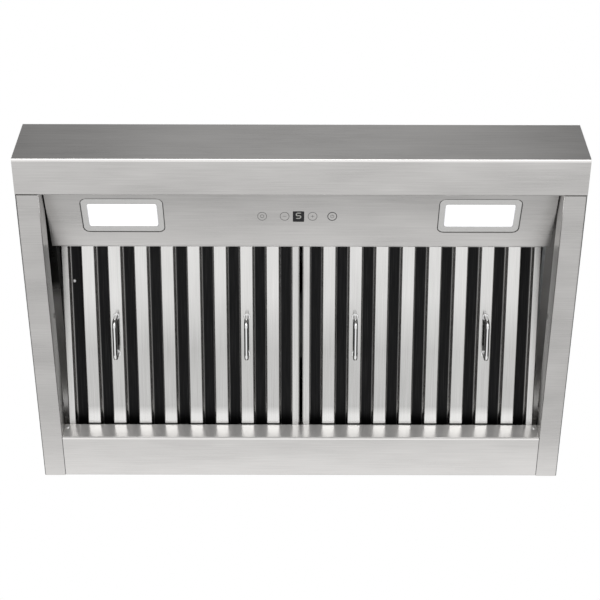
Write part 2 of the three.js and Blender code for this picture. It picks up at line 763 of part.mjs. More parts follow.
function volute() {
  const { width, sheet, plateFlange, inlet, mouth, mouthDraw } = BLOWER;
  const top = chamberCeiling - GAP;
  const front = shaftY - scrollEnd;
  const rear = front + BLOWER.outletDepth;
  const wrapFace = [
    [rear, top],
    [rear, shaftZ + scrollStart],
    ...scrollPoints(0).slice(1),
    [front, top],
  ];
  const wrap = alongX(folded(wrapFace, sheet), ...around(0, width));
  const edge = [
    [rear + plateFlange, top],
    ...scrollPoints(plateFlange).slice(1),
    [front - plateFlange, top],
  ];
  const narrow = inlet - mouthDraw;
  const bell = [
    [narrow - sheet, -mouth],
    [narrow, -mouth],
    [inlet, -sheet],
    [inlet + mouthDraw, sheet / 4],
    [inlet + mouthDraw, sheet],
    [inlet - sheet / 2, sheet],
  ];
  const plates = SIDES.map(([hand, side]) => {
    const inner = side * (width / 2 + GAP);
    const outline = pierced(polygon(edge), circle(inlet, shaftY, shaftZ, ROUND));
    const flat = alongX(outline, ...ordered(inner, inner + side * sheet));
    const ring = turned(bell, ROUND).rotateY((side * Math.PI) / 2).translate(inner, shaftY, shaftZ);
    return piece(`volute_${hand}_plate`, join(flat, ring), zinc);
  });
  return [piece('volute_wrap', wrap, zinc), ...plates];
}

// A disc on its hub carries a cage of curved blades on each side, held by a flat ring beside the disc
// and a deeper ring at the inlet.
function wheelPieces() {
  const { wheelRadius, bladeDepth, blades, blade, hub, hubLength, disc, ringWidth, ringDepth } = BLOWER;
  const line = [0, 0.5, 1].map((part) => {
    const radius = wheelRadius - bladeDepth * (1 - part);
    const lean = BLOWER.bladeLean * part ** 2;
    return [radius * Math.cos(lean), radius * Math.sin(lean)];
  });
  const vane = folded(line, blade);
  const rim = wheelRadius + blade;
  const root = wheelRadius - bladeDepth - blade;
  const foot = disc / 2 + GAP;
  const ends = [wheelHalf - ringWidth, wheelHalf - 1.5 * blade, wheelHalf];
  const tube = (inner, outer, x0, x1) => [[inner, x0], [outer, x0], [outer, x1], [inner, x1]];
  const inletRing = [[rim - ringDepth, ends[2]], [rim - 1.5 * blade, ends[0]], [rim, ends[0]], [rim, ends[2]]];
  const cage = (side) => {
    const sided = (profile) => (side > 0 ? profile : profile.map(([r, x]) => [r, -x]).reverse());
    const vanes = Array.from({ length: blades }, (_, i) =>
      alongX(vane, ...ordered(side * (foot + blade / 2), side * ends[1])).rotateX((2 * Math.PI * i) / blades),
    );
    const rings = [inletRing, tube(root, rim, foot, foot + blade)];
    return join(...rings.map((profile) => aboutX(turned(sided(profile), ROUND))), ...vanes);
  };
  const web = aboutX(turned(tube(shaftBore, rim, ...around(0, disc)), ROUND));
  const boss = aboutX(turned(tube(shaftBore, hub, ...around(0, hubLength)), 16));
  const pieces = [
    piece('wheel_disc', join(web, boss), wheelBlack),
    ...SIDES.map(([hand, side]) => piece(`wheel_${hand}_blades`, cage(side), wheelBlack)),
  ];
  pieces.forEach((mesh) => mesh.position.set(0, shaftY, shaftZ));
  return pieces;
}

function motor() {
  const { spiderHub, arms, armWidth, armReach, armTurn, inlet, shaft, shaftLeft } = BLOWER;
  const { motorRadius, motorShoulder, motorCover, motorNose, motorNoseLength, endDepth } = BLOWER;
  const outer = voluteOuter;
  const inner = BLOWER.hubLength / 2 + BLOWER.motorPlay;
  const [coverIn, coverOut] = [inner + motorNoseLength, outer - motorNoseLength];
  const shoulder = motorRadius - motorShoulder;
  const blindEnd = outer - endDepth;
  const body = [
    [shaftBore, inner],
    [motorNose, inner],
    [motorNose + GAP, coverIn],
    [shoulder, coverIn + GAP],
    [motorRadius, coverIn + motorCover],
    [motorRadius, coverOut - motorCover],
    [shoulder, coverOut - GAP],
    [motorNose + GAP, coverOut],
    [motorNose, outer],
    [0, outer],
    [0, blindEnd],
    [shaftBore, blindEnd],
  ];
  const spindle = [[0, -shaftLeft], [shaft, -shaftLeft], [shaft, blindEnd - GAP], [0, blindEnd - GAP]];
  const bracketInner = outer + GAP;
  const arm = rectangle(0, inlet + armReach, ...around(0, armWidth));
  const bars = Array.from({ length: arms }, (_, i) =>
    alongX(arm, bracketInner, bracketOuter).rotateX((2 * Math.PI * i) / arms + armTurn),
  );
  const bracket = join(alongX(circle(spiderHub, 0, 0, 16), bracketInner, bracketOuter), ...bars);
  const pieces = [
    piece('motor_body', aboutX(turned(body, 20)), blackPaint),
    piece('motor_shaft', aboutX(turned(spindle, 12)), spring),
    piece('motor_bracket', bracket, zinc),
  ];
  pieces.forEach((mesh) => mesh.position.set(0, shaftY, shaftZ));
  return pieces;
}

function capacitorPieces() {
  const { radius, length, strap, strapWidth, strapFoot } = CAPACITOR;
  const [x, y] = [capacitorX, capacitorY];
  const ceiling = chamberCeiling - GAP;
  const centre = ceiling - strap - GAP - radius;
  const round = (size) => circle(size, y, centre, 20);
  const can = alongX(round(radius), x, x + length);
  const [x0, x1] = around(x + length / 2, strapWidth);
  const [y0, y1] = around(y, 2 * (radius + strapFoot));
  const loop = cut(
    join(alongX(round(radius + GAP + strap), x0, x1), box(x0, x1, y0, y1, ceiling - strap, ceiling)),
    alongX(round(radius + GAP), x, x + length),
  );
  return [piece('capacitor', can, greyPlastic), piece('capacitor_clip', loop, zinc)];
}

// ---------------------------------------------------------------- duct collar and damper
function ductPieces() {
  const { radius, height, flangeWidth, flangeSheet, damperHeight, rodRadius, rodEnd, flapSheet } = DUCT;
  const { ledgeWidth, ledgeSheet, beadDepth, beadBelow } = DUCT;
  const flange = radius + flangeWidth;
  const ledge = ductInner - ledgeWidth;
  const base = CHAMBER.top + GAP;
  const seat = damperHeight - flapSheet / 2 - GAP;
  const beadMiddle = height - beadBelow;
  const profile = [
    [ductInner, 0],
    [flange, 0],
    [flange, flangeSheet],
    [radius, flangeSheet],
    [radius, beadMiddle - beadDepth],
    [radius + beadDepth, beadMiddle - beadDepth / 2],
    [radius + beadDepth, beadMiddle + beadDepth / 2],
    [radius, beadMiddle + beadDepth],
    [radius, height],
    [ductInner, height],
    [ductInner, seat],
    [ledge, seat],
    [ledge, seat - ledgeSheet],
    [ductInner, seat - ledgeSheet],
  ];
  const rodHole = alongX(circle(rodRadius + GAP, 0, damperHeight), ...around(0, 2 * (radius + overcut)));
  const ring = cut(turned(profile, 28), rodHole);
  const pin = alongX(circle(rodRadius, 0, damperHeight), ...around(0, 2 * (radius + rodEnd)));
  const pieces = [
    piece('duct_collar', ring, zinc),
    piece('damper_rod', pin, spring),
    damperFlap('front', -1, DUCT.frontKnuckles),
    damperFlap('rear', 1, DUCT.rearKnuckles),
  ];
  pieces.forEach((mesh) => mesh.position.set(0, ductY, base));
  return pieces;
}

function damperFlap(end, side, knucklePlace) {
  const { damperHeight, flapSheet, flapPlay, flapInset, knuckleRadius, knuckleWidth, rodRadius } = DUCT;
  const [z0, z1] = around(damperHeight, flapSheet);
  const edge = ductInner - flapPlay;
  const start = Math.asin(flapInset / edge);
  const leaf = alongZ(polygon(arc(0, 0, edge, start, Math.PI - start, 20)), z0, z1);
  const round = (radius) => circle(radius, 0, damperHeight);
  const loop = () => pierced(round(knuckleRadius), round(rodRadius + GAP));
  const knuckles = [-knucklePlace, knucklePlace].flatMap((x) => {
    const [x0, x1] = around(x, knuckleWidth);
    return [box(x0, x1, knuckleRadius - flapSheet, flapInset + flapSheet, z0, z1), alongX(loop(), x0, x1)];
  });
  const flap = join(leaf, ...knuckles);
  return piece(`damper_flap_${end}`, side > 0 ? flap : flap.rotateZ(Math.PI), zinc);
}

// ---------------------------------------------------------------- wiring
function junctionPieces() {
  const { width, depth, height, wall } = JUNCTION;
  const [x, y] = [junctionX, junctionY];
  const { radius, bore, lip, lipSheet } = BUSHING;
  const top = chamberCeiling - GAP;
  const bottom = top - height;
  const [x0, x1] = around(x, width);
  const [y0, y1] = around(y, depth);
  const inside = box(x0 + wall, x1 - wall, y0 + wall, y1 - wall, bottom - overcut, top - wall);
  const wireHole = alongZ(circle(bushingHole, x, y, 16), ...around(top, 2 * overcut));
  const shell = cut(box(x0, x1, y0, y1, bottom, top), inside, wireHole);
  const cover = box(x0, x1, y0, y1, bottom - GAP - wall, bottom - GAP);
  const low = top - wall - GAP;
  const high = CHAMBER.top + GAP;
  const grommet = [
    [bore, low - lipSheet],
    [radius + lip, low - lipSheet],
    [radius + lip, low],
    [radius, low],
    [radius, high],
    [radius + lip, high],
    [radius + lip, high + lipSheet],
    [bore, high + lipSheet],
  ];
  return [
    piece('junction_box', shell, zinc),
    piece('junction_cover', cover, zinc),
    piece('wire_bushing', turned(grommet, 16).translate(x, y, 0), rubber),
  ];
}

const controlMiddle = CANOPY.height - CONTROL_BOX.height / 2;
const controlSide = CONTROL_BOX.width / 2;
const junctionSide = junctionX - JUNCTION.width / 2;
const ceilingRun = CHAMBER.top - SUPPLY.ceiling;

// From the control box up through the roof and the upper box, then back past the capacitor.
const SUPPLY_ROUTE = [
  [controlSide + GAP, supplyY - 26, controlMiddle],
  [controlSide + 14, supplyY - 25, controlMiddle],
  [supplyX - 4, supplyY - 8, controlMiddle + 2],
  [supplyX, supplyY, CANOPY.height - 4],
  [supplyX, supplyY, roofTop + 12],
  [supplyX, supplyY, ceilingRun - 70],
  [supplyX + 2, supplyY + 8, ceilingRun - 14],
  [capacitorX - 36, supplyY + 50, ceilingRun - 4],
  [capacitorX - 26, capacitorY + 70, ceilingRun - 4],
  [junctionSide - 30, junctionY - 6, ceilingRun - 14],
  [junctionSide - 9, junctionY, ceilingRun - 14],
  [junctionSide - GAP, junctionY, ceilingRun - 14],
];

// From the motor's bracket, past the side of the scroll, to the junction box.
const MOTOR_ROUTE = [
  [bracketOuter + GAP, shaftY, shaftZ],
  [bracketOuter + 6, shaftY, shaftZ],
  [bracketOuter + 16, shaftY + 4, shaftZ + 5],
  [bracketOuter + 34, shaftY + 30, shaftZ + 36],
  [junctionSide - 24, junctionY + 18, ceilingRun - 15],
  [junctionSide - 9, junctionY + 20, ceilingRun - 14],
  [junctionSide - GAP, junctionY + 20, ceilingRun - 14],
];

// From the inner side of a lamp housing to the control box, over the lamp panel.
function lampRoute(side) {
  const lampSide = lampOffset - LAMP.width / 2 - LAMP.housingOver;
  const y = lipBack + LAMP.along * Math.cos(panelSlope) - 5;
  const z = PANEL.frontHeight + LAMP.along * Math.sin(panelSlope) + 13;
  return [
    [side * (lampSide - GAP), y, z],
    [side * (lampSide - 20), y, z],
    [side * (lampSide - 55), y, (z + controlMiddle) / 2],
    [side * (controlSide + 18), y, controlMiddle],
    [side * (controlSide + GAP), y, controlMiddle],
  ];
}

// A lead along a smooth curve through its points, with a step about every three radii.
function lead(name, route, radius) {
  const points = route.map((point) => new THREE.Vector3(...point));
  const curve = new THREE.CatmullRomCurve3(points, false, 'centripetal');
  const steps = Math.round(curve.getLength() / LEAD.step);
  return piece(name, wire(curve, radius, LEAD.sides, steps), insulation);
}

// ---------------------------------------------------------------- assembly
const hood = new THREE.Group();
hood.position.y = -CANOPY.depth / 2;
const rightSide = sidePanelGeometry();
hood.add(
  frontPanel(),
  piece('left_side_panel', mirrored(rightSide), brushed),
  piece('right_side_panel', rightSide, brushed),
  rearPanel(),
  roofPanel(),
  chamberWrap(),
  chamberEnd('chamber_left_end', -1),
  chamberEnd('chamber_right_end', 1),
  lampPanel(),
  panelFrame().add(...SIDES.flatMap(([hand, side]) => lampPieces(hand, side)), ...touchControls()),
  ...controlBox(),
  filterFrame().add(...SIDES.map(([hand, side]) => filterPieces(hand, side))),
  ...SIDES.flatMap(([hand, side]) =>
    [-1, 1].map((end, order) => {
      const x = side * (filterOffset + end * CATCH.spread);
      return filterCatch(`${hand}_filter_catch_${order + 1}`, x);
    }),
  ),
  ...volute(),
  ...wheelPieces(),
  ...motor(),
  ...capacitorPieces(),
  ...ductPieces(),
  ...junctionPieces(),
  ...SIDES.map(([hand, side]) => lead(`${hand}_lamp_lead`, lampRoute(side), LEAD.radius)),
  lead('motor_lead', MOTOR_ROUTE, LEAD.radius),
  lead('supply_lead', SUPPLY_ROUTE, LEAD.mainRadius),
);

export default hood;
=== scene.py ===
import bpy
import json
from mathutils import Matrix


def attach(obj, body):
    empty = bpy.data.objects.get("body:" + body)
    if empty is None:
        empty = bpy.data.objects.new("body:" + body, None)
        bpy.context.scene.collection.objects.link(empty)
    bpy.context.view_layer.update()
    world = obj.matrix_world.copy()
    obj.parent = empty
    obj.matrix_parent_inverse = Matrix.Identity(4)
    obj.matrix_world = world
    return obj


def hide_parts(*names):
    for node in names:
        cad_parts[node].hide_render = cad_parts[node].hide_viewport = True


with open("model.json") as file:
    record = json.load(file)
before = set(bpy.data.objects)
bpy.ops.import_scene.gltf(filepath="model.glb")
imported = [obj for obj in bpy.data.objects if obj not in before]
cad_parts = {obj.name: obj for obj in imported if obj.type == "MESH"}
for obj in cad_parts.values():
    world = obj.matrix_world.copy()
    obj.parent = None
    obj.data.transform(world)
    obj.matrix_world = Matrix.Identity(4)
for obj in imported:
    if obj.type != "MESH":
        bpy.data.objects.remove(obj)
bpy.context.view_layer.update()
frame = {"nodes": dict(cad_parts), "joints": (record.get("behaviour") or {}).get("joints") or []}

import fnmatch
import json
import math

import bpy
import numpy as np
from bpy.props import FloatProperty, FloatVectorProperty, IntProperty, PointerProperty
from bpy.types import Operator, Panel, PropertyGroup
from mathutils import Matrix, Vector

bl_info = {
    "name": "Range hood insert",
    "version": (1, 0, 0),
    "blender": (4, 5, 0),
    "location": "3D View > Sidebar > Hood",
    "description": "Finishes, fine pieces and stage for a stainless range hood insert",
    "category": "Object",
}

# Shapes are measured in millimetres, finishes and the stage in metres.
MM = 0.001
NODES = frame["nodes"]
JOINTS = {joint["name"]: joint for joint in frame["joints"]}
SIDES = (("left", -1), ("right", 1))
HALF_DEPTH = 263.0  # from the front face to the middle of the hood

# The filters lie on a slope down to the rear, from their hinge line on the trough's wall.
FILTER_SLOPE = math.atan(0.2507)
FILTER_SEAT = 1.15  # underside of the face baffles above the hinge line
FILTER_DEEP = 22.6
FILTER_AHEAD, FILTER_BEHIND = -284.9, 22.0
FILTER_WIDTH = 340.55
FILTER_SHEET = 0.8
FILTER_GAP = 0.3  # between pieces of a filter
BAFFLES = 8
BAFFLE_PITCH = 37.75
BAFFLE_FLAT = 18.8
HANDLE_PITCHES = ((1, -2.5), (2, 2.5))  # from the middle of a filter

# The lamp panel rises to the rear.
PANEL_FRONT = (53.8, 25.4)  # from the front face and above the rim
PANEL_SLOPE = math.atan2(61.5 - 25.4, 168 - 53.8)
LAMP_OUT, LAMP_ALONG = 244.0, 56.8
LAMP_WINDOW = (95.0, 44.0)
BEZEL = (111.4, 64.4)
DISPLAY_OUT, DISPLAY_ALONG = -3.6, 58.2

DUCT_BACK = 330.0  # from the front face
DUCT_FOOT = 290.3

# Where shade and highlights are painted on the metal, in metres in the row frame.
CHANNEL_OUT, CHANNEL_UP = (0.3497, 0.3795), (0.0008, 0.1049)  # the channels behind the side rims
SIDE_BEND, REAR_BEND = (0.3787, 0.3804), (0.2621, 0.2634)  # outer bends of the rims
BEND_TOP = 0.0035
FRONT_BEND, FRONT_BEND_TOP = -0.2597, 0.002
ROOF_UNDERSIDE = 0.1069
WALL_FOOT, WALL_REAR = 0.1943, 0.1962  # bend and rear face of the trough's wall
BOX_INSIDE = 0.34925  # inner face of an end of the upper box
SCROLL_SHADE_TOP = 0.25
FLAT_ENDS = (0.1905, 0.1932)
HANDLES_OUT = (0.0783, 0.2671)
STRIP_HALF, STRIP_ALONG = 0.0029, (0.034, 0.079)  # between a handle's feet


# ---------------- surfaces
def filter_place(u, v, w):
    """Points of a filter, measured across, back along and up through it, in the row frame in metres:
    turned by the slope about the hinge line."""
    hinge = JOINTS["left_filter_hinge"]["pos_m"]
    cosine, sine = math.cos(FILTER_SLOPE), math.sin(FILTER_SLOPE)
    y = hinge[1] + MM * (v * cosine + w * sine)
    z = hinge[2] + MM * (w * cosine - v * sine)
    return np.stack(np.broadcast_arrays(u * MM, y, z), axis=-1)


def panel_place(u, v, w):
    """Points of the lamp panel, measured across, up and through its slope, in the row frame in metres."""
    cosine, sine = math.cos(PANEL_SLOPE), math.sin(PANEL_SLOPE)
    return row_place(u, PANEL_FRONT[0] + v * cosine - w * sine, PANEL_FRONT[1] + v * sine + w * cosine)


def row_place(x, y, z):
    """Points measured back from the front face and up from the rim, in the row frame in metres."""
    return np.stack(np.broadcast_arrays(x, y - HALF_DEPTH, z), axis=-1) * MM


def filter_middle(hand):
    return 1000 * JOINTS[f"{hand}_filter_hinge"]["pos_m"][0]


def unit(vectors):
    """Vectors of the same headings, one long."""
    return vectors / np.linalg.norm(vectors, axis=-1, keepdims=True)


def circle(sides):
    return np.linspace(0, 2 * math.pi, sides, endpoint=False)


def arc(centre, radius, start, end, count):
    """Points at even angles, in degrees, on a circle or on an ellipse of two radii."""
    angle = np.radians(np.linspace(start, end, count))
    return np.asarray(centre) + np.asarray(radius) * np.stack([np.cos(angle), np.sin(angle)], 1)


def grid(points, around=False, closed=False):
    """A grid of points as vertices and quads; around joins its last row to its first, and closed joins its
    last column to its first."""
    rows, columns = points.shape[:2]
    index = np.arange(rows * columns).reshape(rows, columns)
    if around:
        index = np.vstack([index, index[:1]])
    if closed:
        index = np.hstack([index, index[:, :1]])
    quads = np.stack([index[:-1, :-1], index[1:, :-1], index[1:, 1:], index[:-1, 1:]], axis=-1)
    return points.reshape(-1, 3), quads.reshape(-1, 4)


def outward(part):
    """The same closed surface with its faces outwards: the sum of the tetrahedra on its middle is its
    volume, and where that is negative every face is turned round."""
    points, quads = part
    corners = points[quads] - points.mean(0)
    a, b, c, d = (corners[:, i] for i in range(4))
    volume = np.einsum("ij,ij->i", a, np.cross(b, c) + np.cross(c, d)).sum()
    return (points, quads if volume > 0 else quads[:, ::-1])


def gather(*parts):
    """Several surfaces as one set of vertices and quads."""
    starts = np.cumsum([0] + [len(points) for points, _ in parts[:-1]])
    quads = [quads + start for (_, quads), start in zip(parts, starts)]
    return np.vstack([points for points, _ in parts]), np.vstack(quads)


def rounded_line(points, radius, steps):
    """Stations and left normals of an open line with round corners. At each corner the arc leaves the run
    at radius times the tangent of half the turn before it, and its angle grows evenly over the turn."""
    points = np.asarray(points, float)
    runs = unit(np.diff(points, axis=0))
    into, out = runs[:-1], runs[1:]
    turn = np.arctan2(into[:, 0] * out[:, 1] - into[:, 1] * out[:, 0], (into * out).sum(1))
    sign = np.sign(turn)[:, None]
    left = np.stack([-into[:, 1], into[:, 0]], 1)
    start = points[1:-1] - into * (radius * np.tan(np.abs(turn) / 2))[:, None]
    centre = start + left * sign * radius
    angle = turn[:, None] * np.linspace(0, 1, steps + 1)
    cosine, sine = np.cos(angle), np.sin(angle)
    normal = np.stack([left[:, None, 0] * cosine - left[:, None, 1] * sine,
                       left[:, None, 0] * sine + left[:, None, 1] * cosine], -1)
    arcs = centre[:, None] - normal * sign[:, None] * radius
    ends = np.stack([-runs[[0, -1], 1], runs[[0, -1], 0]], 1)
    stations = np.vstack([points[:1], arcs.reshape(-1, 2), points[-1:]])
    normals = np.vstack([ends[:1], normal.reshape(-1, 2), ends[1:]])
    return stations, normals


def bent_sheet(points, radius, steps, place, start, end):
    """A bent sheet of a filter: half its thickness to each side of a line with round corners, carried in a
    straight line from start to end, with its two ends closed by strips between the faces."""
    line, normal = rounded_line(points, radius, steps)
    half = normal * FILTER_SHEET / 2
    loop = np.vstack([line - half, (line + half)[::-1]])
    along = np.array([[start], [end]])
    vertices, quads = grid(place(loop[None, :, 0], along, loop[None, :, 1]), closed=True)
    count = len(loop)
    first = np.arange(len(line) - 1)
    cap = np.stack([first, first + 1, count - 2 - first, count - 1 - first], 1)
    return outward((vertices, np.vstack([quads, cap, cap[:, ::-1] + count])))


def turned(profile, sides, place):
    """A profile of radius and height turned about its axis: each point goes round evenly by cosine and
    sine. The profile is a closed loop, or starts and ends on the axis."""
    profile = np.asarray(profile, float)
    angle = circle(sides)[:, None]
    a, b = profile[:, 0] * np.cos(angle), profile[:, 0] * np.sin(angle)
    points = place(a, b, np.broadcast_to(profile[:, 1], a.shape))
    poles = profile[0, 0] < 1e-9
    return outward(grid(points, around=True, closed=not poles))


def tube(path, radius, sides, across):
    """A round tube: a circle stood square to the path at each point, measured from one direction that the
    path never takes, with its ends drawn in to their middles."""
    heading = unit(np.gradient(path, axis=0))
    side = unit(np.cross(heading, across))
    other = np.cross(heading, side)
    angle = circle(sides)[None, :, None]
    ring = side[:, None] * np.cos(angle) + other[:, None] * np.sin(angle)
    radii = np.full((len(path) + 2, 1, 1), float(radius))
    radii[[0, -1]] = 0
    path = np.vstack([path[:1], path, path[-1:]])[:, None]
    ring = np.concatenate([ring[:1], ring, ring[-1:]])
    return outward(grid(path + ring * radii, closed=True))


def rounded_outline(width, height, radius, steps):
    """A rectangle with round corners: each corner's arc goes evenly through a quarter turn."""
    x, y = width / 2 - radius, height / 2 - radius
    corners = ((x, y), (-x, y), (-x, -y), (x, -y))
    return np.vstack([arc(at, radius, 90 * turn, 90 * turn + 90, steps) for turn, at in enumerate(corners)])


def slab(outline, low, high, edge, place):
    """A flat piece with round edges: its outline shrinks towards its middle by edge over a quarter circle
    at each face, and the faces are closed at their middles."""
    outline = np.asarray(outline, float)
    middle = outline.mean(0)
    reach = np.linalg.norm(outline - middle, axis=1).min()
    quarter = np.linspace(0, math.pi / 2, 4)
    falling, rising = edge * (1 - np.sin(quarter)), edge * (1 - np.cos(quarter))
    inset = np.concatenate([[reach], falling, rising, [reach]])
    level = np.concatenate([[low], low + rising, high - falling, [high]])
    ring = middle + (outline - middle) * (1 - inset / reach)[:, None, None]
    return outward(grid(place(ring[..., 0], ring[..., 1], level[:, None]), closed=True))


def pan_head(centre, radius, height, axis):
    """A plain domed head that stands out along axis: radius times the cosine and height times a power of
    the sine of an angle that runs from its rim to its crown."""
    axis = unit(np.asarray(axis, float))
    side = unit(np.cross(axis, (0.31, 0.87, 0.38)))  # any direction that no head takes
    other = np.cross(axis, side)
    angle = np.linspace(0, math.pi / 2, 6)
    profile = np.vstack([[0, -0.2 * height], [radius, -0.2 * height],
                         np.stack([radius * np.cos(angle), height * np.sin(angle) ** 0.8], 1)])
    profile[-1, 0] = 0
    return turned(profile, 20, lambda a, b, h: centre + MM * (
        a[..., None] * side + b[..., None] * other + h[..., None] * axis))


def add_object(name, data):
    made = bpy.data.objects.new(name, data)
    bpy.context.scene.collection.objects.link(made)
    return made


def put(name, part, finish, body, slot, stands_for=(), **marks):
    """Puts vertices and quads into a mesh object that rides on a body. Vertices in one place are merged,
    edges that turn by more than 35 degrees stay sharp, and marks are numbers kept on the vertices."""
    points, quads = part
    _, first, merged = np.unique(np.round(points, 7), axis=0, return_index=True, return_inverse=True)
    faces = [list(dict.fromkeys(face)) for face in merged.reshape(-1)[quads].tolist()]
    mesh = bpy.data.meshes.new(name)
    mesh.from_pydata(points[first].tolist(), [], [face for face in faces if len(face) > 2])
    mesh.polygons.foreach_set("use_smooth", np.ones(len(mesh.polygons), bool))
    mesh.set_sharp_from_angle(angle=math.radians(35))
    mesh.materials.append(finish)
    for mark, values in marks.items():
        kept = mesh.attributes.new(mark, "FLOAT", "POINT").data
        kept.foreach_set("value", values[first].astype(np.float32))
    mesh.update()
    piece = add_object(name, mesh)
    if stands_for:
        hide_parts(*stands_for)
    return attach(piece, body)


# ---------------- finishes
def adds(operation):
    """A method that adds the Math node of an operation."""
    return lambda value, *others: value.maths(operation, *others)


class Value:
    """A number socket that works in Python arithmetic; each operation adds its Math node."""

    def __init__(self, finish, socket):
        self.finish, self.socket = finish, socket

    def maths(self, operation, *others):
        values = dict(enumerate((self,) + others))
        return self.finish.node("ShaderNodeMath", {"operation": operation}, values)

    __add__ = __radd__ = adds("ADD")
    __mul__ = __rmul__ = adds("MULTIPLY")
    __sub__, __truediv__, __abs__ = adds("SUBTRACT"), adds("DIVIDE"), adds("ABSOLUTE")
    __lt__, __gt__ = adds("LESS_THAN"), adds("GREATER_THAN")

    def __rsub__(self, other):
        return self * -1.0 + other

    def within(self, limits):
        return (self > limits[0]) * (self < limits[1])

    def clamped(self):
        return self.maths("MAXIMUM", 0.0).maths("MINIMUM", 1.0)


class Finish:
    """A material or world being made. node() adds any node from its type, its settings and its sockets."""

    def __init__(self, name, tree=None):
        if tree is None:
            self.material = bpy.data.materials.new(name)
            self.material.use_nodes = True
            tree = self.material.node_tree
            self.shader = tree.nodes["Principled BSDF"]
        self.tree = tree

    def feed(self, socket, value):
        if isinstance(value, Value):
            value = value.socket
        if isinstance(value, bpy.types.NodeSocket):
            self.tree.links.new(value, socket)
        elif socket.type == "RGBA":
            socket.default_value = (*value, 1.0)[:4]
        else:
            socket.default_value = value

    def node(self, kind, settings=None, sockets=None, output=0):
        made = self.tree.nodes.new(kind)
        for name, setting in (settings or {}).items():
            if name == "stops":
                elements = made.color_ramp.elements
                elements[0].position, elements[1].position = setting[0][0], setting[-1][0]
                for place, _ in setting[1:-1]:
                    elements.new(place)
                for element, (_, grey) in zip(elements, setting):
                    element.color = (grey, grey, grey, 1)
            else:
                setattr(made, name, setting)
        for name, value in (sockets or {}).items():
            self.feed(made.inputs[name], value)
        return Value(self, made.outputs[output]) if made.outputs else made

    def set(self, **values):
        for name, value in values.items():
            self.feed(self.shader.inputs[name.replace("_", " ")], value)
        return self

    def place(self, size, turn=(0, 0, 0), centre=(0, 0, 0)):
        """Object coordinates in features of a size, one or one each way, after a turn about a centre."""
        here = self.node("ShaderNodeTexCoord", output="Object")
        scale = size if isinstance(size, tuple) else (size,) * 3
        return self.node("ShaderNodeMapping", {"vector_type": "TEXTURE"},
                         {"Vector": here, "Location": centre, "Rotation": turn, "Scale": scale})

    def noise(self, size, detail=2.0, roughness=0.5, turn=(0, 0, 0)):
        return self.node("ShaderNodeTexNoise", None, {"Vector": self.place(size, turn), "Scale": 1.0,
                                                      "Detail": detail, "Roughness": roughness})

    def cells(self, size, output, random=1.0, distance="EUCLIDEAN"):
        """Cells round scattered points, or round evenly set ones where random is 0."""
        return self.node("ShaderNodeTexVoronoi", {"feature": "F1", "distance": distance},
                         {"Vector": self.place(size), "Scale": 1.0, "Randomness": random}, output)

    def ramp(self, value, stops):
        """A number that runs evenly between stops of place and level, both from 0 to 1."""
        return self.node("ShaderNodeValToRGB", {"stops": stops}, {"Fac": value})

    def split(self, vector, name):
        return self.node("ShaderNodeSeparateXYZ", None, {"Vector": vector}, name)

    def axis(self, name):
        return self.split(self.node("ShaderNodeTexCoord", output="Object"), name)

    def mark(self, name):
        return self.node("ShaderNodeAttribute", {"attribute_name": name}, output="Fac")

    def ray(self, kind):
        return self.node("ShaderNodeLightPath", output=f"Is {kind} Ray")

    def mirrored(self):
        """1 for what metal and glass see, and 0 for the rest."""
        return (self.ray("Glossy") + self.ray("Transmission")).clamped()

    def shades(self, dark, light, mask):
        """A colour between two, by a mask from 0 to 1."""
        return self.node("ShaderNodeMix", {"data_type": "RGBA"}, {0: mask, 6: dark, 7: light}, output=2)

    def toned(self, colour, dark, light, mask):
        """A colour from one multiple of itself to another, by a mask from 0 to 1."""
        return self.shades(tinted(colour, dark), tinted(colour, light), mask)

    def shadowed(self, unshaded, amount, shadow_colour=(0.06, 0.06, 0.058)):
        """A colour darkened by an amount of painted shade, from 0 to 1."""
        return self.shades(unshaded, shadow_colour, amount)

    def bump(self, height, depth):
        return self.node("ShaderNodeBump", None, {"Height": height, "Distance": depth, "Strength": 1.0})


def tinted(colour, factor):
    return tuple(min(1.0, channel * factor) for channel in colour)


def brushed(name, colour, grain, rough=0.28, depth=0.0000022, turn=(0, 0, 0), painted_shading=None, contrast=1.0,
            below=None, painted_shade=None, polish_and_highlight=None):
    """Brushed sheet: fine scratches, longer streaks and broad clouds lie along the grain, and set colour,
    gloss and bump. Stops of y and a level about 0.5 paint light and shade on the sheet from front to rear,
    and below keeps that to what lies under a height. The painted shade mask gives where the sheet is painted
    darker as shade, and the polish and highlight mask where it is glossier and painted lighter as a
    highlight, from 0 to 1."""
    finish = Finish(name).set(Metallic=1.0)

    def lying(length, width, detail, roughness):
        size = tuple(length if axis in grain else width for axis in "xyz")
        return finish.noise(size, detail, roughness, turn)

    scratch = lying(0.035, 0.00032, 3.0, 0.6)
    streak = lying(0.09, 0.0016, 3.0, 0.6)
    cloud = lying(0.15, 0.05, 2.0, 0.5)
    level = 0.5
    # Painted light and shade from front to rear.
    if painted_shading:
        front, depth_share = MM * HALF_DEPTH, 1.9  # the second takes the hood's depth into 0 to 1
        stops = [((y + front) * depth_share, tone) for y, tone in painted_shading]
        level = finish.ramp((finish.axis("Y") + front) * depth_share, stops)
    if below:
        level = (level - 0.5) * ((below - finish.axis("Z")) * 500.0).clamped() + 0.5
    grey = level + ((scratch - 0.5) * 0.35 + (streak - 0.5) * 0.5 + (cloud - 0.5) * 0.6) * contrast
    tone = finish.toned(colour, 0.7, 1.3, grey.clamped())
    # Painted shade.
    if painted_shade:
        tone = finish.shadowed(tone, painted_shade(finish))
    gloss = (rough - 0.05) + scratch * 0.06 + cloud * 0.05
    # Painted highlight: lighter and glossier where marked.
    if polish_and_highlight:
        rubbed_and_highlit = polish_and_highlight(finish)
        tone = finish.shades(tone, tinted(colour, 1.5), rubbed_and_highlit)
        gloss = gloss * (1.0 - rubbed_and_highlit * 0.4)
        finish.set(Metallic=1.0 - rubbed_and_highlit * (1.0 - rubbed_and_highlit) * 2.1)
    finish.set(Base_Color=tone, Roughness=gloss, Normal=finish.bump(scratch, depth))
    return finish.material


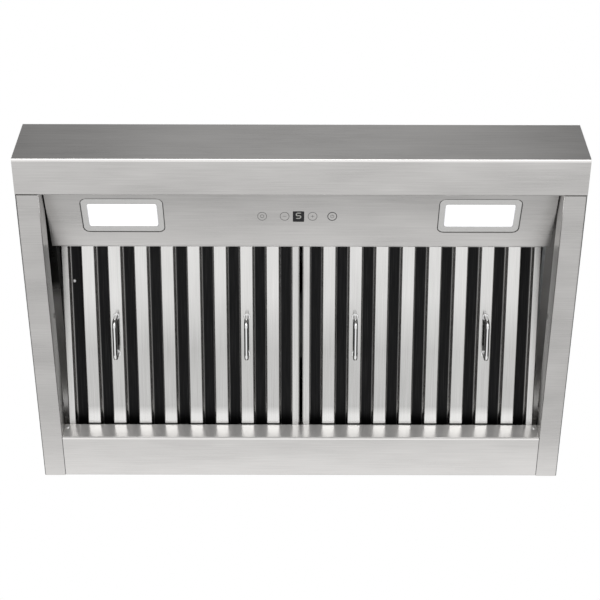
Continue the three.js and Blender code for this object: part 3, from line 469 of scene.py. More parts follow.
def galvanised(name, rough=0.4, painted_shade=None):
    """Zinc-coated sheet: flat crystals a few millimetres across, each its own grey and gloss, under a cloud.
    The painted shade mask gives where the sheet is painted darker as shade, from 0 to 1."""
    finish = Finish(name)
    grey = finish.node("ShaderNodeRGBToBW", None, {"Color": finish.cells(0.007, "Color")})
    cloud = finish.noise(0.07, 4.0)
    grain = finish.noise(0.0006)
    tone = finish.toned(tint("zinc"), 0.78, 1.22, (grey * 0.6 + cloud * 0.4).clamped())
    # Painted shade.
    if painted_shade:
        tone = finish.shadowed(tone, painted_shade(finish))
    finish.set(Base_Color=tone, Metallic=1.0, Roughness=rough + (grey - 0.5) * 0.12 + (cloud - 0.5) * 0.08,
               Normal=finish.bump(grain, 0.000004))
    return finish.material


def moulded(name, colour, rough):
    """Moulded or painted surface: a fine even texture that shows in tone, gloss and bump."""
    finish = Finish(name)
    texture = finish.noise(0.0007)
    cloud = finish.noise(0.03, 3.0)
    tone = finish.toned(colour, 0.94, 1.06, (texture * 0.6 + cloud * 0.4).clamped())
    finish.set(Base_Color=tone, Roughness=(rough - 0.05) + cloud * 0.1, Normal=finish.bump(texture, 0.00002))
    return finish.material


def plated(name, colour, rough=0.04, grime=False):
    """Bright plating: nearly a mirror, with fine draw marks and a little waviness. Painted shade darkens it
    where the piece is marked."""
    finish = Finish(name)
    drawn = finish.noise((0.02, 0.0005, 0.0005))
    wave = finish.noise(0.008)
    tone = finish.toned(colour, 0.94, 1.03, wave)
    # Painted shade where the piece is marked.
    if grime:
        tone = finish.shadowed(tone, finish.mark("grime"), (0.01, 0.01, 0.01))
    finish.set(Base_Color=tone, Metallic=1.0, Roughness=rough + drawn * 0.05,
               Normal=finish.bump(wave, 0.00002))
    return finish.material


def shaded_trough(name, bright, dark):
    """Back baffles: the crown over a slot is painted dark as shade, and clears to bright steel on its
    shoulders, by the crown mark that the pieces carry."""
    finish = Finish(name)
    crown = finish.mark("crown")
    streak = finish.noise((0.0006, 0.05, 0.0006), 3.0, turn=(-FILTER_SLOPE, 0, 0))
    tone = finish.shades(bright, dark, (crown + (streak - 0.5) * 0.12).clamped())
    finish.set(Base_Color=tone, Metallic=1.0, Roughness=0.2 + crown * 0.2 + streak * 0.05,
               Normal=finish.bump(streak, 0.000002))
    return finish.material


def lit_diffuser(name, level, side):
    """A lit diffuser: rows of small round prisms brighten and dim it a little, and it fades over the last
    few millimetres before the window's edge."""
    finish = Finish(name)
    prisms = finish.cells(0.0022, "Distance", random=0.0)
    centre = panel_place(side * LAMP_OUT, LAMP_ALONG, 0.0)
    half_window = (MM * LAMP_WINDOW[0] / 2, MM * LAMP_WINDOW[1] / 2, 1)
    window = finish.place(half_window, (PANEL_SLOPE, 0, 0), tuple(centre))
    fades = (("X", 0.09), ("Y", 0.13))  # as shares of half the window
    across, along = ((1.0 - abs(finish.split(window, axis))) / fade for axis, fade in fades)
    middle = across.maths("MINIMUM", along).clamped()
    glow = finish.shades((0.35, 0.35, 0.36), (1.0, 1.0, 1.0), (middle * middle - prisms * 0.1).clamped())
    finish.set(Base_Color=glow, Roughness=0.4, Emission_Color=glow, Emission_Strength=level)
    return finish.material


def circuit(name, colour):
    """A circuit board: solder mask with square-cornered copper tracks a little lighter under it."""
    finish = Finish(name)
    tracks = finish.cells((0.006, 0.0035, 0.006), "Distance", 0.8, "CHEBYCHEV")
    edge = ((tracks - 0.42) * 20.0).clamped()
    finish.set(Base_Color=finish.toned(colour, 0.8, 1.7, edge), Roughness=0.35 + edge * 0.1,
               Normal=finish.bump(edge, 0.00003))
    return finish.material


def glossy_window(name, colour):
    """A black window: deep gloss with a faint waviness and a bloom of dust."""
    finish = Finish(name)
    wave = finish.noise(0.01)
    finish.set(Base_Color=finish.toned(colour, 1.0, 1.8, wave), Roughness=0.08 + wave * 0.06,
               Specular_IOR_Level=0.22, Normal=finish.bump(wave, 0.00001))
    return finish.material


def lit_figure(name, colour, level):
    """A lit figure, mottled by the cells of its display."""
    finish = Finish(name)
    tone = finish.toned(colour, 0.85, 1.0, finish.noise(0.0012, 1.0))
    finish.set(Base_Color=tone, Roughness=0.5, Emission_Color=tone, Emission_Strength=level)
    return finish.material


def fading_shade(finish, most, rate):
    """Painted shade that thins out towards the rear, at a rate for each metre, and is heavier on the left."""
    left_heavier = (finish.axis("X") < 0.0) * 0.75 + 0.25
    return (most - finish.axis("Y") * rate).clamped() * left_heavier


def channel_shade(finish):
    """The channels behind the side rims, and how deep the painted shade is there."""
    zone = abs(finish.axis("X")).within(CHANNEL_OUT) * finish.axis("Z").within(CHANNEL_UP)
    return zone, fading_shade(finish, 0.75, 25.0)


# Painted sheen: the channel is painted lighter and glossier where its painted shade is thin.
def channel_sheen(finish):
    zone, shade_amount = channel_shade(finish)
    return zone * (1.0 - shade_amount) * 0.5


def inside_side_panels(finish):
    """Painted shade in the channel, and painted shade on the rim's outer bend."""
    zone, shade_amount = channel_shade(finish)
    return zone * shade_amount + abs(finish.axis("X")).within(SIDE_BEND) * (finish.axis("Z") < BEND_TOP) * 0.9


# Painted shade on the roof's underside, thinning towards the rear.
def under_roof(finish):
    return (finish.axis("Z") < ROOF_UNDERSIDE) * fading_shade(finish, 1.9, 12.0)


def trough_wall(finish):
    """The trough's wall, glossier and painted lighter as a sheen, and the bend along its foot, painted
    brighter still as a highlight.
    """
    y = finish.axis("Y")
    return (y < WALL_REAR) * 0.48 + y.within((WALL_FOOT, WALL_REAR)) * 0.52


def front_bend(finish):
    """The bend between the front face and its lip, painted bright as a highlight."""
    return (finish.axis("Y") < FRONT_BEND) * (finish.axis("Z") < FRONT_BEND_TOP)


def rear_bend(finish):
    """The outer half of the bend between the rear rim and the rear wall, painted dark as shade."""
    return finish.axis("Y").within(REAR_BEND) * (finish.axis("Z") < BEND_TOP) * 0.55


def chamber_end(finish):
    """Painted shade on the inner face of an end of the upper box, in its front half."""
    return (abs(finish.axis("X")) < BOX_INSIDE) * fading_shade(finish, 0.9, 12.0)


# Painted shade on the foot of the scroll, below a height.
def scroll_foot(finish):
    return ((SCROLL_SHADE_TOP - finish.axis("Z")) * 12.0).clamped() * 0.9


def baffle_shade(finish):
    """Painted shade on the last two millimetres of the face baffles before the trough's wall, and painted
    shadow on strips between the handles' feet, where the flats reflect the wires."""
    out, y = abs(finish.axis("X")), finish.axis("Y")
    inner, outer = (out.within((x - STRIP_HALF, x + STRIP_HALF)) for x in HANDLES_OUT)
    return y.within(FLAT_ENDS) + (inner + outer) * y.within(STRIP_ALONG) * 0.85


def dress(finish, *patterns):
    """Gives a finish to the CAD nodes whose names fit a pattern, in their own material slots."""
    for pattern in patterns:
        names = fnmatch.filter(NODES, pattern)
        if not names:
            raise KeyError(pattern)
        for place in (place for name in names for place in NODES[name].material_slots):
            place.material = finish


# ---------------- settings
def amount(name, description, default, low=0.0, unit="NONE", subtype="NONE"):
    return FloatProperty(name=name, description=description, default=default, min=low, unit=unit,
                         subtype=subtype)


def length(*settings):
    return amount(*settings, "LENGTH", "DISTANCE")


def hue(name, description, default):
    return FloatVectorProperty(name=name, description=description, default=default, size=3, min=0, max=1,
                               subtype="COLOR")


class HoodSizes(PropertyGroup):
    handle_wire: length("Handle wire", "Diameter of the filter handles' wire", 0.0062, 0.002)
    handle_length: length("Handle length", "Length of a handle over its wire", 0.063, 0.03)
    handle_standoff: length("Handle standoff", "How far a handle stands off the baffles", 0.032, 0.01)
    baffle_bend: length("Baffle bend", "Radius of the bends of the face baffles", 0.0011, 0.0005)
    bezel_edge: length("Bezel edge", "Radius of the lamp bezels' edges", 0.0007, 0.0001)
    figure: IntProperty(name="Figure", description="Figure on the display", default=5, min=0, max=9)


class HoodColours(PropertyGroup):
    steel: hue("Steel", "Brushed stainless sheet", (0.56, 0.55, 0.54))
    bright: hue("Bright steel", "Face baffles and bezels", (0.66, 0.655, 0.645))
    zinc: hue("Zinc", "Galvanised sheet", (0.46, 0.475, 0.485))
    chrome: hue("Chrome", "Handles and rivets", (0.82, 0.82, 0.82))
    shade: hue("Slot", "Dark crown of the back baffles", (0.014, 0.014, 0.0145))
    figure: hue("Figure", "Figure on the display", (0.36, 0.36, 0.34))


class HoodStage(PropertyGroup):
    lamp_glow: amount("Lamp glow", "Emission of the lamps' diffusers", 2.2)
    key: amount("Key light", "Power of the soft light from the front below", 20.0, unit="POWER")
    top: amount("Top light", "Power of the soft light from above", 16.0, unit="POWER")
    ambient: amount("Ambient", "Plain light from all round", 0.55)
    floor_depth: length("Floor depth", "Floor below the rim, under the camera", 2.3, 1.9)


def measure(name):
    """A size from the settings, in millimetres."""
    return 1000 * getattr(bpy.context.scene.hood_sizes, name)


def tint(name):
    """A colour from the settings."""
    return tuple(getattr(bpy.context.scene.hood_colours, name))


# ---------------- pieces
class HoodPiece(Operator):
    def execute(self, context):
        self.make()
        return {"FINISHED"}


class Canopy(HoodPiece):
    """Panels of the canopy, with the sloped lamp panel"""

    bl_idname = "hood.canopy"
    bl_label = "Canopy"

    def make(self):
        steel, rim_top = tint("steel"), 0.003
        # Painted light and shade on each panel from front to rear, as stops of y and level.
        front = ((-0.262, 0.5), (-0.21, 0.38))
        rear = ((0.196, 0.64), (0.26, 1.0), (0.2618, 1.0), (0.2624, 0.2))
        sides = ((-0.26, 0.36), (-0.2, 0.27), (0.12, 0.27), (0.2, 0.5), (0.26, 0.82))
        dress(brushed("steel_front", steel, "x", painted_shading=front, below=rim_top, polish_and_highlight=front_bend),
              "front_panel")
        dress(brushed("steel_rear", steel, "x", painted_shading=rear, painted_shade=rear_bend, polish_and_highlight=trough_wall), "rear_panel")
        dress(brushed("steel_sides", steel, "xz", painted_shading=sides, below=rim_top, painted_shade=inside_side_panels,
                      polish_and_highlight=channel_sheen), "*_side_panel")
        dress(galvanised("zinc_roof", painted_shade=under_roof), "roof_panel")
        # The lamp panel's steel is a tenth darker, with painted shade at its front clearing to the rear.
        slope = ((-0.21, 0.05), (-0.16, 0.38), (-0.1, 0.7))
        dress(brushed("steel_panel", tinted(steel, 0.9), "x", turn=(PANEL_SLOPE, 0, 0), painted_shading=slope),
              "lamp_panel")


class Lamps(HoodPiece):
    """Lamp bezels, lenses, housings and light boards"""

    bl_idname = "hood.lamps"
    bl_label = "Lamps"

    def bezel(self, side):
        """A frame between the window's outline and its own: every point lies on the line from one to the
        other, at the share and level of a closed section that goes once round the metal. It is marked for
        painted shade on its walls, deeper than its rounded edges."""
        inner, outer = rounded_outline(*LAMP_WINDOW, 3, 9), rounded_outline(*BEZEL, 8.2, 9)
        edge, across, thick, rear_face = measure("bezel_edge"), 9.5, 3.0, 1.5
        share, past = edge / across, 1.6
        section = np.vstack([
            [[0, thick]],
            arc((share, edge), (share, edge), 180, 270, 5),
            arc((1 - share, edge), (share, edge), -90, 0, 5),
            [[1, rear_face], [past, rear_face], [past, thick]],
        ])
        ring = inner + (outer - inner) * section[:, 0, None, None]
        w = section[:, 1, None] + 0 * ring[..., 0]
        points = panel_place(side * LAMP_OUT + ring[..., 0], LAMP_ALONG + ring[..., 1], w)
        # The mark for painted shade: deeper than the rounded edge, the walls round the bezel are painted
        # dark.
        return outward(grid(points, around=True, closed=True)), np.clip(w.reshape(-1) - edge, 0, 1)

    def make(self):
        bright = plated("bezel_steel", tinted(tint("bright"), 0.8), 0.2, grime=True)
        dress(galvanised("zinc_housing"), "*_lamp_housing")
        dress(circuit("light_board", (0.6, 0.62, 0.6)), "*_lamp_led_board")
        glow = bpy.context.scene.hood_stage.lamp_glow
        for hand, side in SIDES:
            dress(lit_diffuser(f"{hand}_diffuser", glow, side), f"{hand}_lamp_lens")
            part, grime = self.bezel(side)
            put(f"{hand}_lamp_frame", part, bright, "hood", "polished_steel", [f"{hand}_lamp_bezel"],
                grime=grime)


class Controls(HoodPiece):
    """Display with its figure, touch marks, touch board and control box"""

    bl_idname = "hood.controls"
    bl_label = "Controls"

    def stroke(self, start, end, width, low, high):
        """A flat bar with pointed ends from one point to another."""
        start, end = np.asarray(start, float), np.asarray(end, float)
        run = unit(end - start)
        side = np.array([-run[1], run[0]]) * width / 2
        nib = run * width / 2
        outline = np.array([start - nib, start - side, end - side, end + nib, end + side, start + side])
        return slab(outline, low, high, 0.05, panel_place)

    def figure(self, number):
        """A seven-segment figure, slanted by a tenth of its height."""
        on = ("abcdef", "bc", "abged", "abgcd", "fgbc", "afgcd", "afgedc", "abc", "abcdefg", "abcdfg")[number]
        x, y, gap, width = 3.1, 5.2, 0.9, 1.7
        ends = {"a": ((-x, -y), (x, -y)), "b": ((x, -y), (x, 0)), "c": ((x, 0), (x, y)),
                "d": ((-x, y), (x, y)), "e": ((-x, 0), (-x, y)), "f": ((-x, -y), (-x, 0)),
                "g": ((-x, 0), (x, 0))}
        lean = np.array([[1, 0], [-0.1, 1]])
        centre = np.array([DISPLAY_OUT, DISPLAY_ALONG - 1.6])
        parts = []
        for name in on:
            start, end = np.array(ends[name])
            short = unit(end - start) * gap
            start, end = (start + short) @ lean + centre, (end - short) @ lean + centre
            parts.append(self.stroke(start, end, width, -0.06, 0.12))
        return gather(*parts)

    def ring(self, centre, radius, width):
        """A flat ring, taller than it is wide: a flat oblong section goes round by cosine and sine."""
        angle = circle(40)
        section = np.array([[-0.5, 0.02], [0.5, 0.02], [0.5, -0.05], [-0.5, -0.05]])
        reach = radius + width * section[:, 0, None]
        u, v = centre[0] + reach * np.cos(angle), centre[1] + 1.3 * reach * np.sin(angle)
        return outward(grid(panel_place(u, v, section[:, 1, None]), around=True, closed=True))

    def make(self):
        dress(glossy_window("display_glass", (0.008, 0.008, 0.01)), "display_window")
        dress(circuit("touch_circuit", (0.02, 0.12, 0.06)), "touch_board")
        dress(moulded("box_plastic", (0.55, 0.55, 0.53), 0.5), "control_box*")
        figure = self.figure(bpy.context.scene.hood_sizes.figure)
        put("display_figure", figure, lit_figure("display_figure", tint("figure"), 0.5), "hood", "lamp_lens")
        across, upright = ((-2.4, 0), (2.4, 0)), ((0, -2.4), (0, 2.4))
        dash, stem = ((-1.2, 3.0), (1.2, 3.0)), ((0, -3.2), (0, -0.4))
        marks = []
        # Each mark's place, its ring's width, its lines and whether a small ring lies inside.
        for place, width, lines, inside in ((-49.8, 0.6, [dash], True), (-19.0, 0.6, [across], False),
                                            (19.2, 0.6, [across, upright], False), (46.1, 1.1, [stem], True)):
            centre = (DISPLAY_OUT + place, DISPLAY_ALONG - 0.5)
            marks.append(self.ring(centre, 6.1, width))
            for start, end in lines:
                marks.append(self.stroke(np.add(start, centre), np.add(end, centre), 0.5, -0.05, 0.05))
            if inside:
                marks.append(self.ring(centre, 2.3, 0.45))
        ink = moulded("mark_ink", (0.06, 0.06, 0.06), 0.5)
        put("touch_marks", gather(*marks), ink, "hood", "black_paint")


class FaceBaffles(HoodPiece):
    """Face baffles of both filters, with their end channels"""

    bl_idname = "hood.face_baffles"
    bl_label = "Face baffles"

    def row(self, centre):
        """Eight channels with hooked edges between two end channels, each a bent sheet carried straight
        back along the slope or across it."""
        bend, skin = measure("baffle_bend"), FILTER_SHEET / 2
        flange, hook, weld, end_flange, end_play = 11.0, 2.2, 9, 10, 1.1
        low, top = FILTER_SEAT + skin, FILTER_SEAT + flange - skin
        half = BAFFLE_FLAT / 2 - skin
        parts = []
        for index in range(BAFFLES):
            x = centre + (index - (BAFFLES - 1) / 2) * BAFFLE_PITCH
            line = [(x - half + hook, top), (x - half, top), (x - half, low),
                    (x + half, low), (x + half, top), (x + half - hook, top)]
            parts.append(bent_sheet(line, bend, 6, filter_place, FILTER_AHEAD + weld, FILTER_BEHIND - weld))
        half_width = FILTER_WIDTH / 2 - end_play
        high = FILTER_SEAT + FILTER_DEEP - skin
        across = lambda v, u, w: filter_place(u + centre, v, w)
        for end, inward in ((FILTER_AHEAD, 1), (FILTER_BEHIND, -1)):
            tip, web = end + inward * end_flange, end + inward * skin
            line = [(tip, low), (web, low), (web, high), (tip, high)]
            parts.append(bent_sheet(line, bend, 6, across, -half_width, half_width))
        return gather(*parts)

    def make(self):
        # Painted light and shade along the face baffles: lighter at the front, painted shade in the middle,
        # and a painted reflection of the trough's wall before their rear ends.
        painted_shading = ((-0.09, 0.7), (0.0, 0.62), (0.08, 0.22), (0.165, 0.2), (0.178, 0.8), (0.19, 0.85))
        finish = brushed("baffle_steel", tint("bright"), "y", rough=0.13, depth=0.0000012,
                         turn=(-FILTER_SLOPE, 0, 0), painted_shading=painted_shading, contrast=0.7, painted_shade=baffle_shade)
        for hand, _ in SIDES:
            put(f"{hand}_filter_faces", self.row(filter_middle(hand)), finish, f"{hand}_filter",
                "polished_steel", [f"{hand}_filter_face_baffles"])


class BackBaffles(HoodPiece):
    """Arched back baffles of both filters, with their straps"""

    bl_idname = "hood.back_baffles"
    bl_label = "Back baffles"

    def row(self, centre):
        """Nine arches over the slots, each a bent sheet with wide round shoulders carried straight back
        along the slope, and two flat straps across them. Each arch is marked for the painted shade on its
        crown."""
        lap, foot, shoulder = 4.1, 6.0, 8.4
        start, end = FILTER_AHEAD + 1.1, FILTER_BEHIND - 1.1
        strap, strap_width, strap_inset, weld = 1.3, 14, 5, 0.1
        half = (BAFFLE_PITCH - BAFFLE_FLAT) / 2 + lap - FILTER_SHEET / 2
        strap_top = FILTER_SEAT + FILTER_DEEP - FILTER_SHEET - FILTER_GAP
        top = strap_top - strap + weld - FILTER_SHEET / 2
        parts, crowns = [], []
        for index in range(BAFFLES + 1):
            x = centre + (index - BAFFLES / 2) * BAFFLE_PITCH
            line = [(x - half, foot), (x - half, top), (x + half, top), (x + half, foot)]
            part = bent_sheet(line, shoulder, 14, filter_place, start, end)
            parts.append(part)
            # The crown mark: painted shade over the slot, clearing on the shoulders.
            crowns.append(np.clip((shoulder - np.abs(part[0][:, 0] / MM - x)) / 1.2, 0, 1))
        reach = BAFFLES / 2 * BAFFLE_PITCH + half - 9
        outline = np.array([(-reach, 0), (reach, 0), (reach, strap_width), (-reach, strap_width)])
        for v in (FILTER_AHEAD + strap_inset, FILTER_BEHIND - strap_inset - strap_width):
            part = slab(outline + (centre, v), strap_top - strap, strap_top, 0.3, filter_place)
            parts.append(part)
            crowns.append(np.zeros(len(part[0])))
        return gather(*parts), np.concatenate(crowns)

    def make(self):
        finish = shaded_trough("slot_steel", tint("steel"), tint("shade"))
        for hand, _ in SIDES:
            part, crown = self.row(filter_middle(hand))
            put(f"{hand}_filter_backs", part, finish, f"{hand}_filter", "back_steel",
                [f"{hand}_filter_back_baffles"], crown=crown)


class FilterTrim(HoodPiece):
    """Side channels and catches of the filters"""

    bl_idname = "hood.filter_trim"
    bl_label = "Filter trim"

    def make(self):
        channel = brushed("channel_steel", tint("bright"), "y", rough=0.24, turn=(-FILTER_SLOPE, 0, 0))
        dress(channel, "*_filter_*_channel")
        dress(brushed("spring_steel", (0.5, 0.5, 0.49), "x", rough=0.25), "*_filter_catch_*")


class Handles(HoodPiece):
    """Wire handles of the filters"""

    bl_idname = "hood.handles"
    bl_label = "Handles"

    def handle(self, x):
        """A wire along two straight legs and a grip with round corners, and a domed collar on each foot. The
        wire's flanks and upper side are marked for painted shade, which its reflection in the baffles also
        shows."""
        wire, long, standoff = (measure(f"handle_{name}") for name in ("wire", "length", "standoff"))
        radius, sides, collar, dome, bore = wire / 2, 20, 4.8, 0.7, wire / 2 - 0.4
        along, foot = -141.0, FILTER_SEAT - 0.3
        reach, low = long / 2 - radius, FILTER_SEAT - standoff + radius
        line, _ = rounded_line([(-reach, foot), (-reach, low), (reach, low), (reach, foot)], 9.0, 14)
        path = filter_place(x, along + line[:, 0], line[:, 1])
        rod = tube(path, MM * radius, sides, (1, 0, 0))
        spine = np.repeat(np.vstack([path[:1], path, path[-1:]]), sides, axis=0)
        offset = (rod[0] - spine) / (MM * radius)
        up = (filter_place(0, 0, 1) - filter_place(0, 0, 0)) / MM
        # Painted shade on the wire's flanks and upper side, so that its reflection in the baffles is dark
        # too.
        shade_amount = np.maximum((np.abs(offset[:, 0]) - 0.38) / 0.3, (offset @ up - 0.2) / 0.3)
        rounding = arc((collar - dome, -dome), dome, 0, -90, 5)
        profile = np.vstack([[bore, 0], [collar, 0], rounding, [bore, -2 * dome]])
        collars = [turned(profile, 24, lambda a, b, h: filter_place(x + a, along + v + b, foot + h))
                   for v in (-reach, reach)]
        whole = gather(rod, *collars)
        grime = np.zeros(len(whole[0]))
        grime[:len(shade_amount)] = 0.97 * np.clip(shade_amount, 0, 1)
        return whole, grime

    def make(self):
        finish = plated("handle_chrome", tint("chrome"), grime=True)
        for hand, _ in SIDES:
            for order, pitches in HANDLE_PITCHES:
                part, grime = self.handle(filter_middle(hand) + pitches * BAFFLE_PITCH)
                put(f"{hand}_filter_grip_{order}", part, finish, f"{hand}_filter", "chrome_wire",
                    [f"{hand}_filter_handle_{order}"], grime=grime)


class UpperBox(HoodPiece):
    """Upper box"""

    bl_idname = "hood.upper_box"
    bl_label = "Upper box"

    def make(self):
        dress(galvanised("zinc_box"), "chamber_wrap")
        dress(galvanised("zinc_ends", painted_shade=chamber_end), "chamber_*_end")


class Fasteners(HoodPiece):
    """Screws of the upper box and canopy, and the rivets seen in the trough and filter"""

    bl_idname = "hood.fasteners"
    bl_label = "Fasteners"

    def screw(self, x, y, z):
        """A self-tapping screw: a round washer face, and a six-sided head with a chamfered top."""
        washer = [(0, -0.2), (4.2, -0.2), (4.4, 0.2), (4.0, 0.7), (3.2, 0.8), (0, 0.8)]
        head = [(0, 0.6), (3.1, 0.6), (3.1, 2.8), (2.7, 3.3), (2.2, 3.3), (1.8, 3.0), (0, 3.0)]
        place = lambda a, b, h: row_place(x + a, y + b, z + h)
        return gather(turned(washer, 20, place), turned(head, 6, place))

    def make(self):
        box_foot, roof, collar_flange, collar_reach = 109.0, 107.5, 291.5, 83
        at = [(x, y, box_foot) for x in np.linspace(-300, 300, 7) for y in (143.6, 518.4)]
        at += [(x, y, box_foot) for x in (-356.4, 356.4) for y in (190, 285, 380, 475)]
        at += [(x, y, roof) for x in np.linspace(-345, 345, 7) for y in (16, 518) if y < 100 or abs(x) > 340]
        at += [(x, y, roof) for x in (-366, 366) for y in (80, 150)]
        for angle in np.radians(np.arange(6) * 60 + 30):
            at.append((collar_reach * np.cos(angle), DUCT_BACK + collar_reach * np.sin(angle), collar_flange))
        zinc = plated("screw_zinc", (0.62, 0.62, 0.6), 0.2)
        put("box_screws", gather(*(self.screw(*place) for place in at)), zinc, "hood", "galvanised")
        chrome = plated("rivet_chrome", tint("chrome"), 0.3)
        tabs = [pan_head(row_place(x, 455.6, 23.6), 2.3, 1.5, (0, -1, 0)) for x in (-343.5, 343.5)]
        put("trough_rivets", gather(*tabs), chrome, "hood", "polished_steel")
        down = filter_place(0, 0, -1) - filter_place(0, 0, 0)
        seat = filter_place(filter_middle("left") - 155.4, -217.0, 20.6)
        put("left_filter_rivet", pan_head(seat, 2.5, 1.4, down), chrome, "left_filter", "polished_steel")


class Blower(HoodPiece):
    """Scroll, wheel, motor and capacitor"""

    bl_idname = "hood.blower"
    bl_label = "Blower"

    def make(self):
        dress(galvanised("zinc_scroll", painted_shade=scroll_foot), "volute_*", "motor_bracket", "capacitor_clip")
        dress(moulded("wheel_paint", (0.03, 0.03, 0.032), 0.4), "wheel_*")
        dress(moulded("motor_paint", (0.02, 0.02, 0.022), 0.45), "motor_body")
        dress(brushed("shaft_steel", (0.5, 0.5, 0.49), "x", rough=0.2), "motor_shaft")
        dress(moulded("capacitor_plastic", (0.6, 0.6, 0.57), 0.45), "capacitor")


class DuctCollar(HoodPiece):
    """Duct collar and its damper"""

    bl_idname = "hood.duct_collar"
    bl_label = "Duct collar"

    def collar(self):
        """A spun collar turned from one closed profile: flange, wall, rolled bead, turned lip and the ledge
        that the flaps close on. The fillet, the bead and the lip are arcs."""
        out, inside, wall, fillet = 75.0, 74.0, 1.0, 1.2
        flange = [[inside, 0], [89.7, 0], [90, 0.3], [90, 0.9], [89.7, 1.2]]
        ledge = [[inside, 14.3], [69.7, 14.3], [69.5, 14.1], [69.5, 13.5], [69.7, 13.3], [inside, 13.3]]
        profile = np.vstack([
            flange,
            arc((out + fillet, 2 * fillet), fillet, -90, -180, 5),
            arc((out, 31), 1.4, -90, 90, 9),
            arc((out - wall / 2, 38.5), wall / 2, 0, 180, 9),
            ledge,
        ])
        return turned(profile, 112, lambda a, b, h: row_place(a, DUCT_BACK + b, DUCT_FOOT + h))

    def make(self):
        zinc = galvanised("zinc_collar", rough=0.3)
        dress(zinc, "duct_collar", "damper_flap_*")
        put("collar", self.collar(), zinc, "hood", "galvanised", ["duct_collar"])
        dress(brushed("rod_steel", (0.5, 0.5, 0.49), "x", rough=0.2), "damper_rod")


class Wiring(HoodPiece):
    """Junction box, bushing and leads"""

    bl_idname = "hood.wiring"
    bl_label = "Wiring"

    def make(self):
        dress(galvanised("zinc_junction"), "junction_*")
        dress(moulded("bushing_rubber", (0.015, 0.015, 0.015), 0.7), "wire_bushing")
        dress(moulded("sleeve", (0.11, 0.12, 0.13), 0.5), "*_lead")


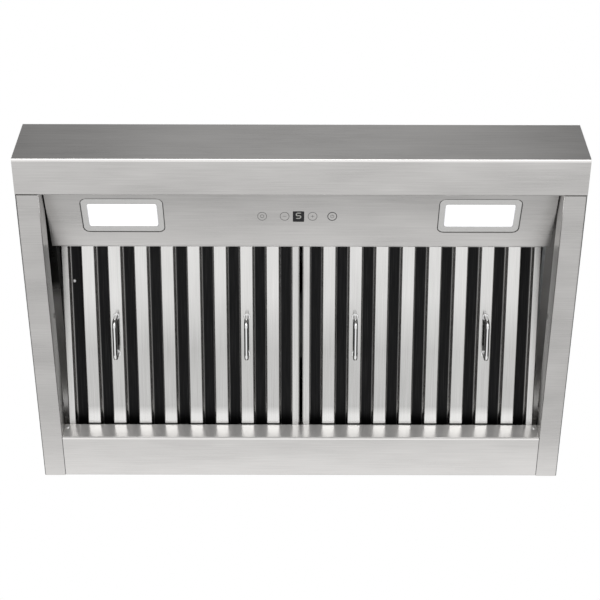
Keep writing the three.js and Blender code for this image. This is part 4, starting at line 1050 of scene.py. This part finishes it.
class Stage(HoodPiece):
    """Floor, lights and camera"""

    bl_idname = "hood.stage"
    bl_label = "Stage"

    def world(self, ambient):
        """Plain light for matt surfaces. The camera sees white. Metal and glass see a studio that is white
        at the horizon and greyer overhead, where it is lightest down the middle."""
        scene = bpy.context.scene
        scene.world = bpy.data.worlds.new("studio")
        scene.world.use_nodes = True
        world = Finish("studio", scene.world.node_tree)
        world.tree.nodes.clear()
        toward = world.node("ShaderNodeTexCoord", output="Generated")
        up, aside = world.split(toward, "Z"), world.split(toward, "X")
        greys = ((0.0, 1.0), (0.37, 1.0), (0.55, 0.85), (0.7, 0.68), (0.85, 0.55), (1.0, 0.55))
        studio = world.ramp(up * 0.5 + 0.5, greys)
        overhead = ((up - 0.5) * 3.0).clamped()
        shine = (studio - aside * aside * overhead * 9.0).maths("MAXIMUM", 0.22)
        seen, camera = world.mirrored(), world.ray("Camera")
        level = camera + (1.0 - camera) * (seen * shine + (1.0 - seen) * ambient)
        light = world.node("ShaderNodeBackground", None, {"Color": (1, 1, 1), "Strength": level})
        world.node("ShaderNodeOutputWorld", None, {"Surface": light})

    def floor(self, depth):
        """A wide pale floor under the camera, clear from beneath. Metal sees it white, with a dark screen
        lying to each side that gives round wires their edges."""
        span = np.linspace(-9, 9, 13)
        vertices, quads = grid(np.stack(np.broadcast_arrays(span[:, None], span[None, :], -depth), -1))
        mesh = bpy.data.meshes.new("floor")
        mesh.from_pydata(vertices.tolist(), [], quads.tolist())
        finish = Finish("floor_paper")
        paper_tone = finish.shades((0.86, 0.86, 0.86), (0.9, 0.9, 0.9), finish.noise(0.4))
        finish.set(Base_Color=paper_tone, Roughness=0.9)
        x, y = abs(finish.axis("X")), finish.axis("Y")
        cosine, sine = 0.972, 0.235  # of the angle by which the screens splay
        out, across = x * cosine + y * sine, abs(x * sine - y * cosine)
        screen = ((out - 1.6) * 3.0).clamped() * ((out * 0.2 + 0.4 - across) * 3.0).clamped()
        seen, camera = finish.mirrored(), finish.ray("Camera")
        glow = {"Color": (1, 1, 1), "Strength": 1.0 - screen * 0.95 * seen}
        pale = finish.node("ShaderNodeEmission", None, glow)
        share = seen.maths("MAXIMUM", camera * 0.8)
        paper = finish.node("ShaderNodeMixShader", None, {0: share, 1: finish.shader.outputs[0], 2: pale})
        under = finish.node("ShaderNodeNewGeometry", output="Backfacing") * camera
        clear = finish.node("ShaderNodeBsdfTransparent")
        mixed = finish.node("ShaderNodeMixShader", None, {0: under, 1: paper, 2: clear})
        finish.feed(finish.tree.nodes["Material Output"].inputs["Surface"], mixed)
        mesh.materials.append(finish.material)
        floor = add_object("floor", mesh)

    def lamp(self, name, power, size, place, target):
        """A soft lamp of a width and height, hidden from the camera, that faces a target."""
        data = bpy.data.lights.new(name, "AREA")
        data.energy, data.shape, data.size, data.size_y = power, "RECTANGLE", *size
        light = add_object(name, data)
        light.visible_camera = False
        ahead = Vector(target) - Vector(place)
        light.matrix_world = Matrix.Translation(place) @ ahead.to_track_quat("-Z", "Y").to_matrix().to_4x4()

    def camera(self):
        """Looks up from below in front, with the focal length and place worked out from the rim's corners."""
        data = bpy.data.cameras.new("camera")
        data.sensor_width, data.lens, data.shift_x = 36.0, 94.22, -1 / 600
        data.clip_end = 40.0
        camera = add_object("camera", data)
        tilt, roll = math.radians(57.654), math.radians(0.11)
        level, top = np.array([1.0, 0, 0]), np.array([0, -math.sin(tilt), math.cos(tilt)])
        look = np.array([0, math.cos(tilt), math.sin(tilt)])
        right = level * math.cos(roll) + top * math.sin(roll)
        top = top * math.cos(roll) - level * math.sin(roll)
        turn = Matrix(np.stack([right, top, -look], 1).tolist()).to_4x4()
        camera.matrix_world = Matrix.Translation((0, -1.2066, -1.8329)) @ turn
        bpy.context.scene.camera = camera

    def make(self):
        stage = bpy.context.scene.hood_stage
        bpy.context.scene.view_settings.view_transform = "Standard"
        self.world(stage.ambient)
        self.floor(stage.floor_depth)
        self.lamp("key", stage.key, (2.6, 1.5), (0, -2.6, -0.9), (0, -0.2, 0.0))
        self.lamp("top", stage.top, (2.0, 2.0), (0.4, 0.6, 2.6), (0, 0, 0.1))
        self.camera()


PIECES = (Canopy, Lamps, Controls, FaceBaffles, BackBaffles, FilterTrim, Handles, UpperBox, Fasteners,
          Blower, DuctCollar, Wiring, Stage)
GROUPS = {"hood_sizes": HoodSizes, "hood_colours": HoodColours, "hood_stage": HoodStage}


class HoodPanel(Panel):
    bl_idname = "VIEW3D_PT_hood"
    bl_label = "Range hood insert"
    bl_space_type = "VIEW_3D"
    bl_region_type = "UI"
    bl_category = "Hood"

    def draw(self, context):
        for name, kind in GROUPS.items():
            column = self.layout.column()
            for setting in kind.__annotations__:
                column.prop(getattr(context.scene, name), setting)
        for piece in PIECES:
            self.layout.operator(piece.bl_idname)


def register():
    for kind in (*GROUPS.values(), *PIECES, HoodPanel):
        bpy.utils.register_class(kind)
    for name, kind in GROUPS.items():
        setattr(bpy.types.Scene, name, PointerProperty(type=kind))


def unregister():
    for name in GROUPS:
        delattr(bpy.types.Scene, name)
    for kind in reversed((*GROUPS.values(), *PIECES, HoodPanel)):
        bpy.utils.unregister_class(kind)


def main():
    register()
    for piece in PIECES:
        family, name = piece.bl_idname.split(".")
        getattr(getattr(bpy.ops, family), name)()


if __name__ == "__main__":
    main()
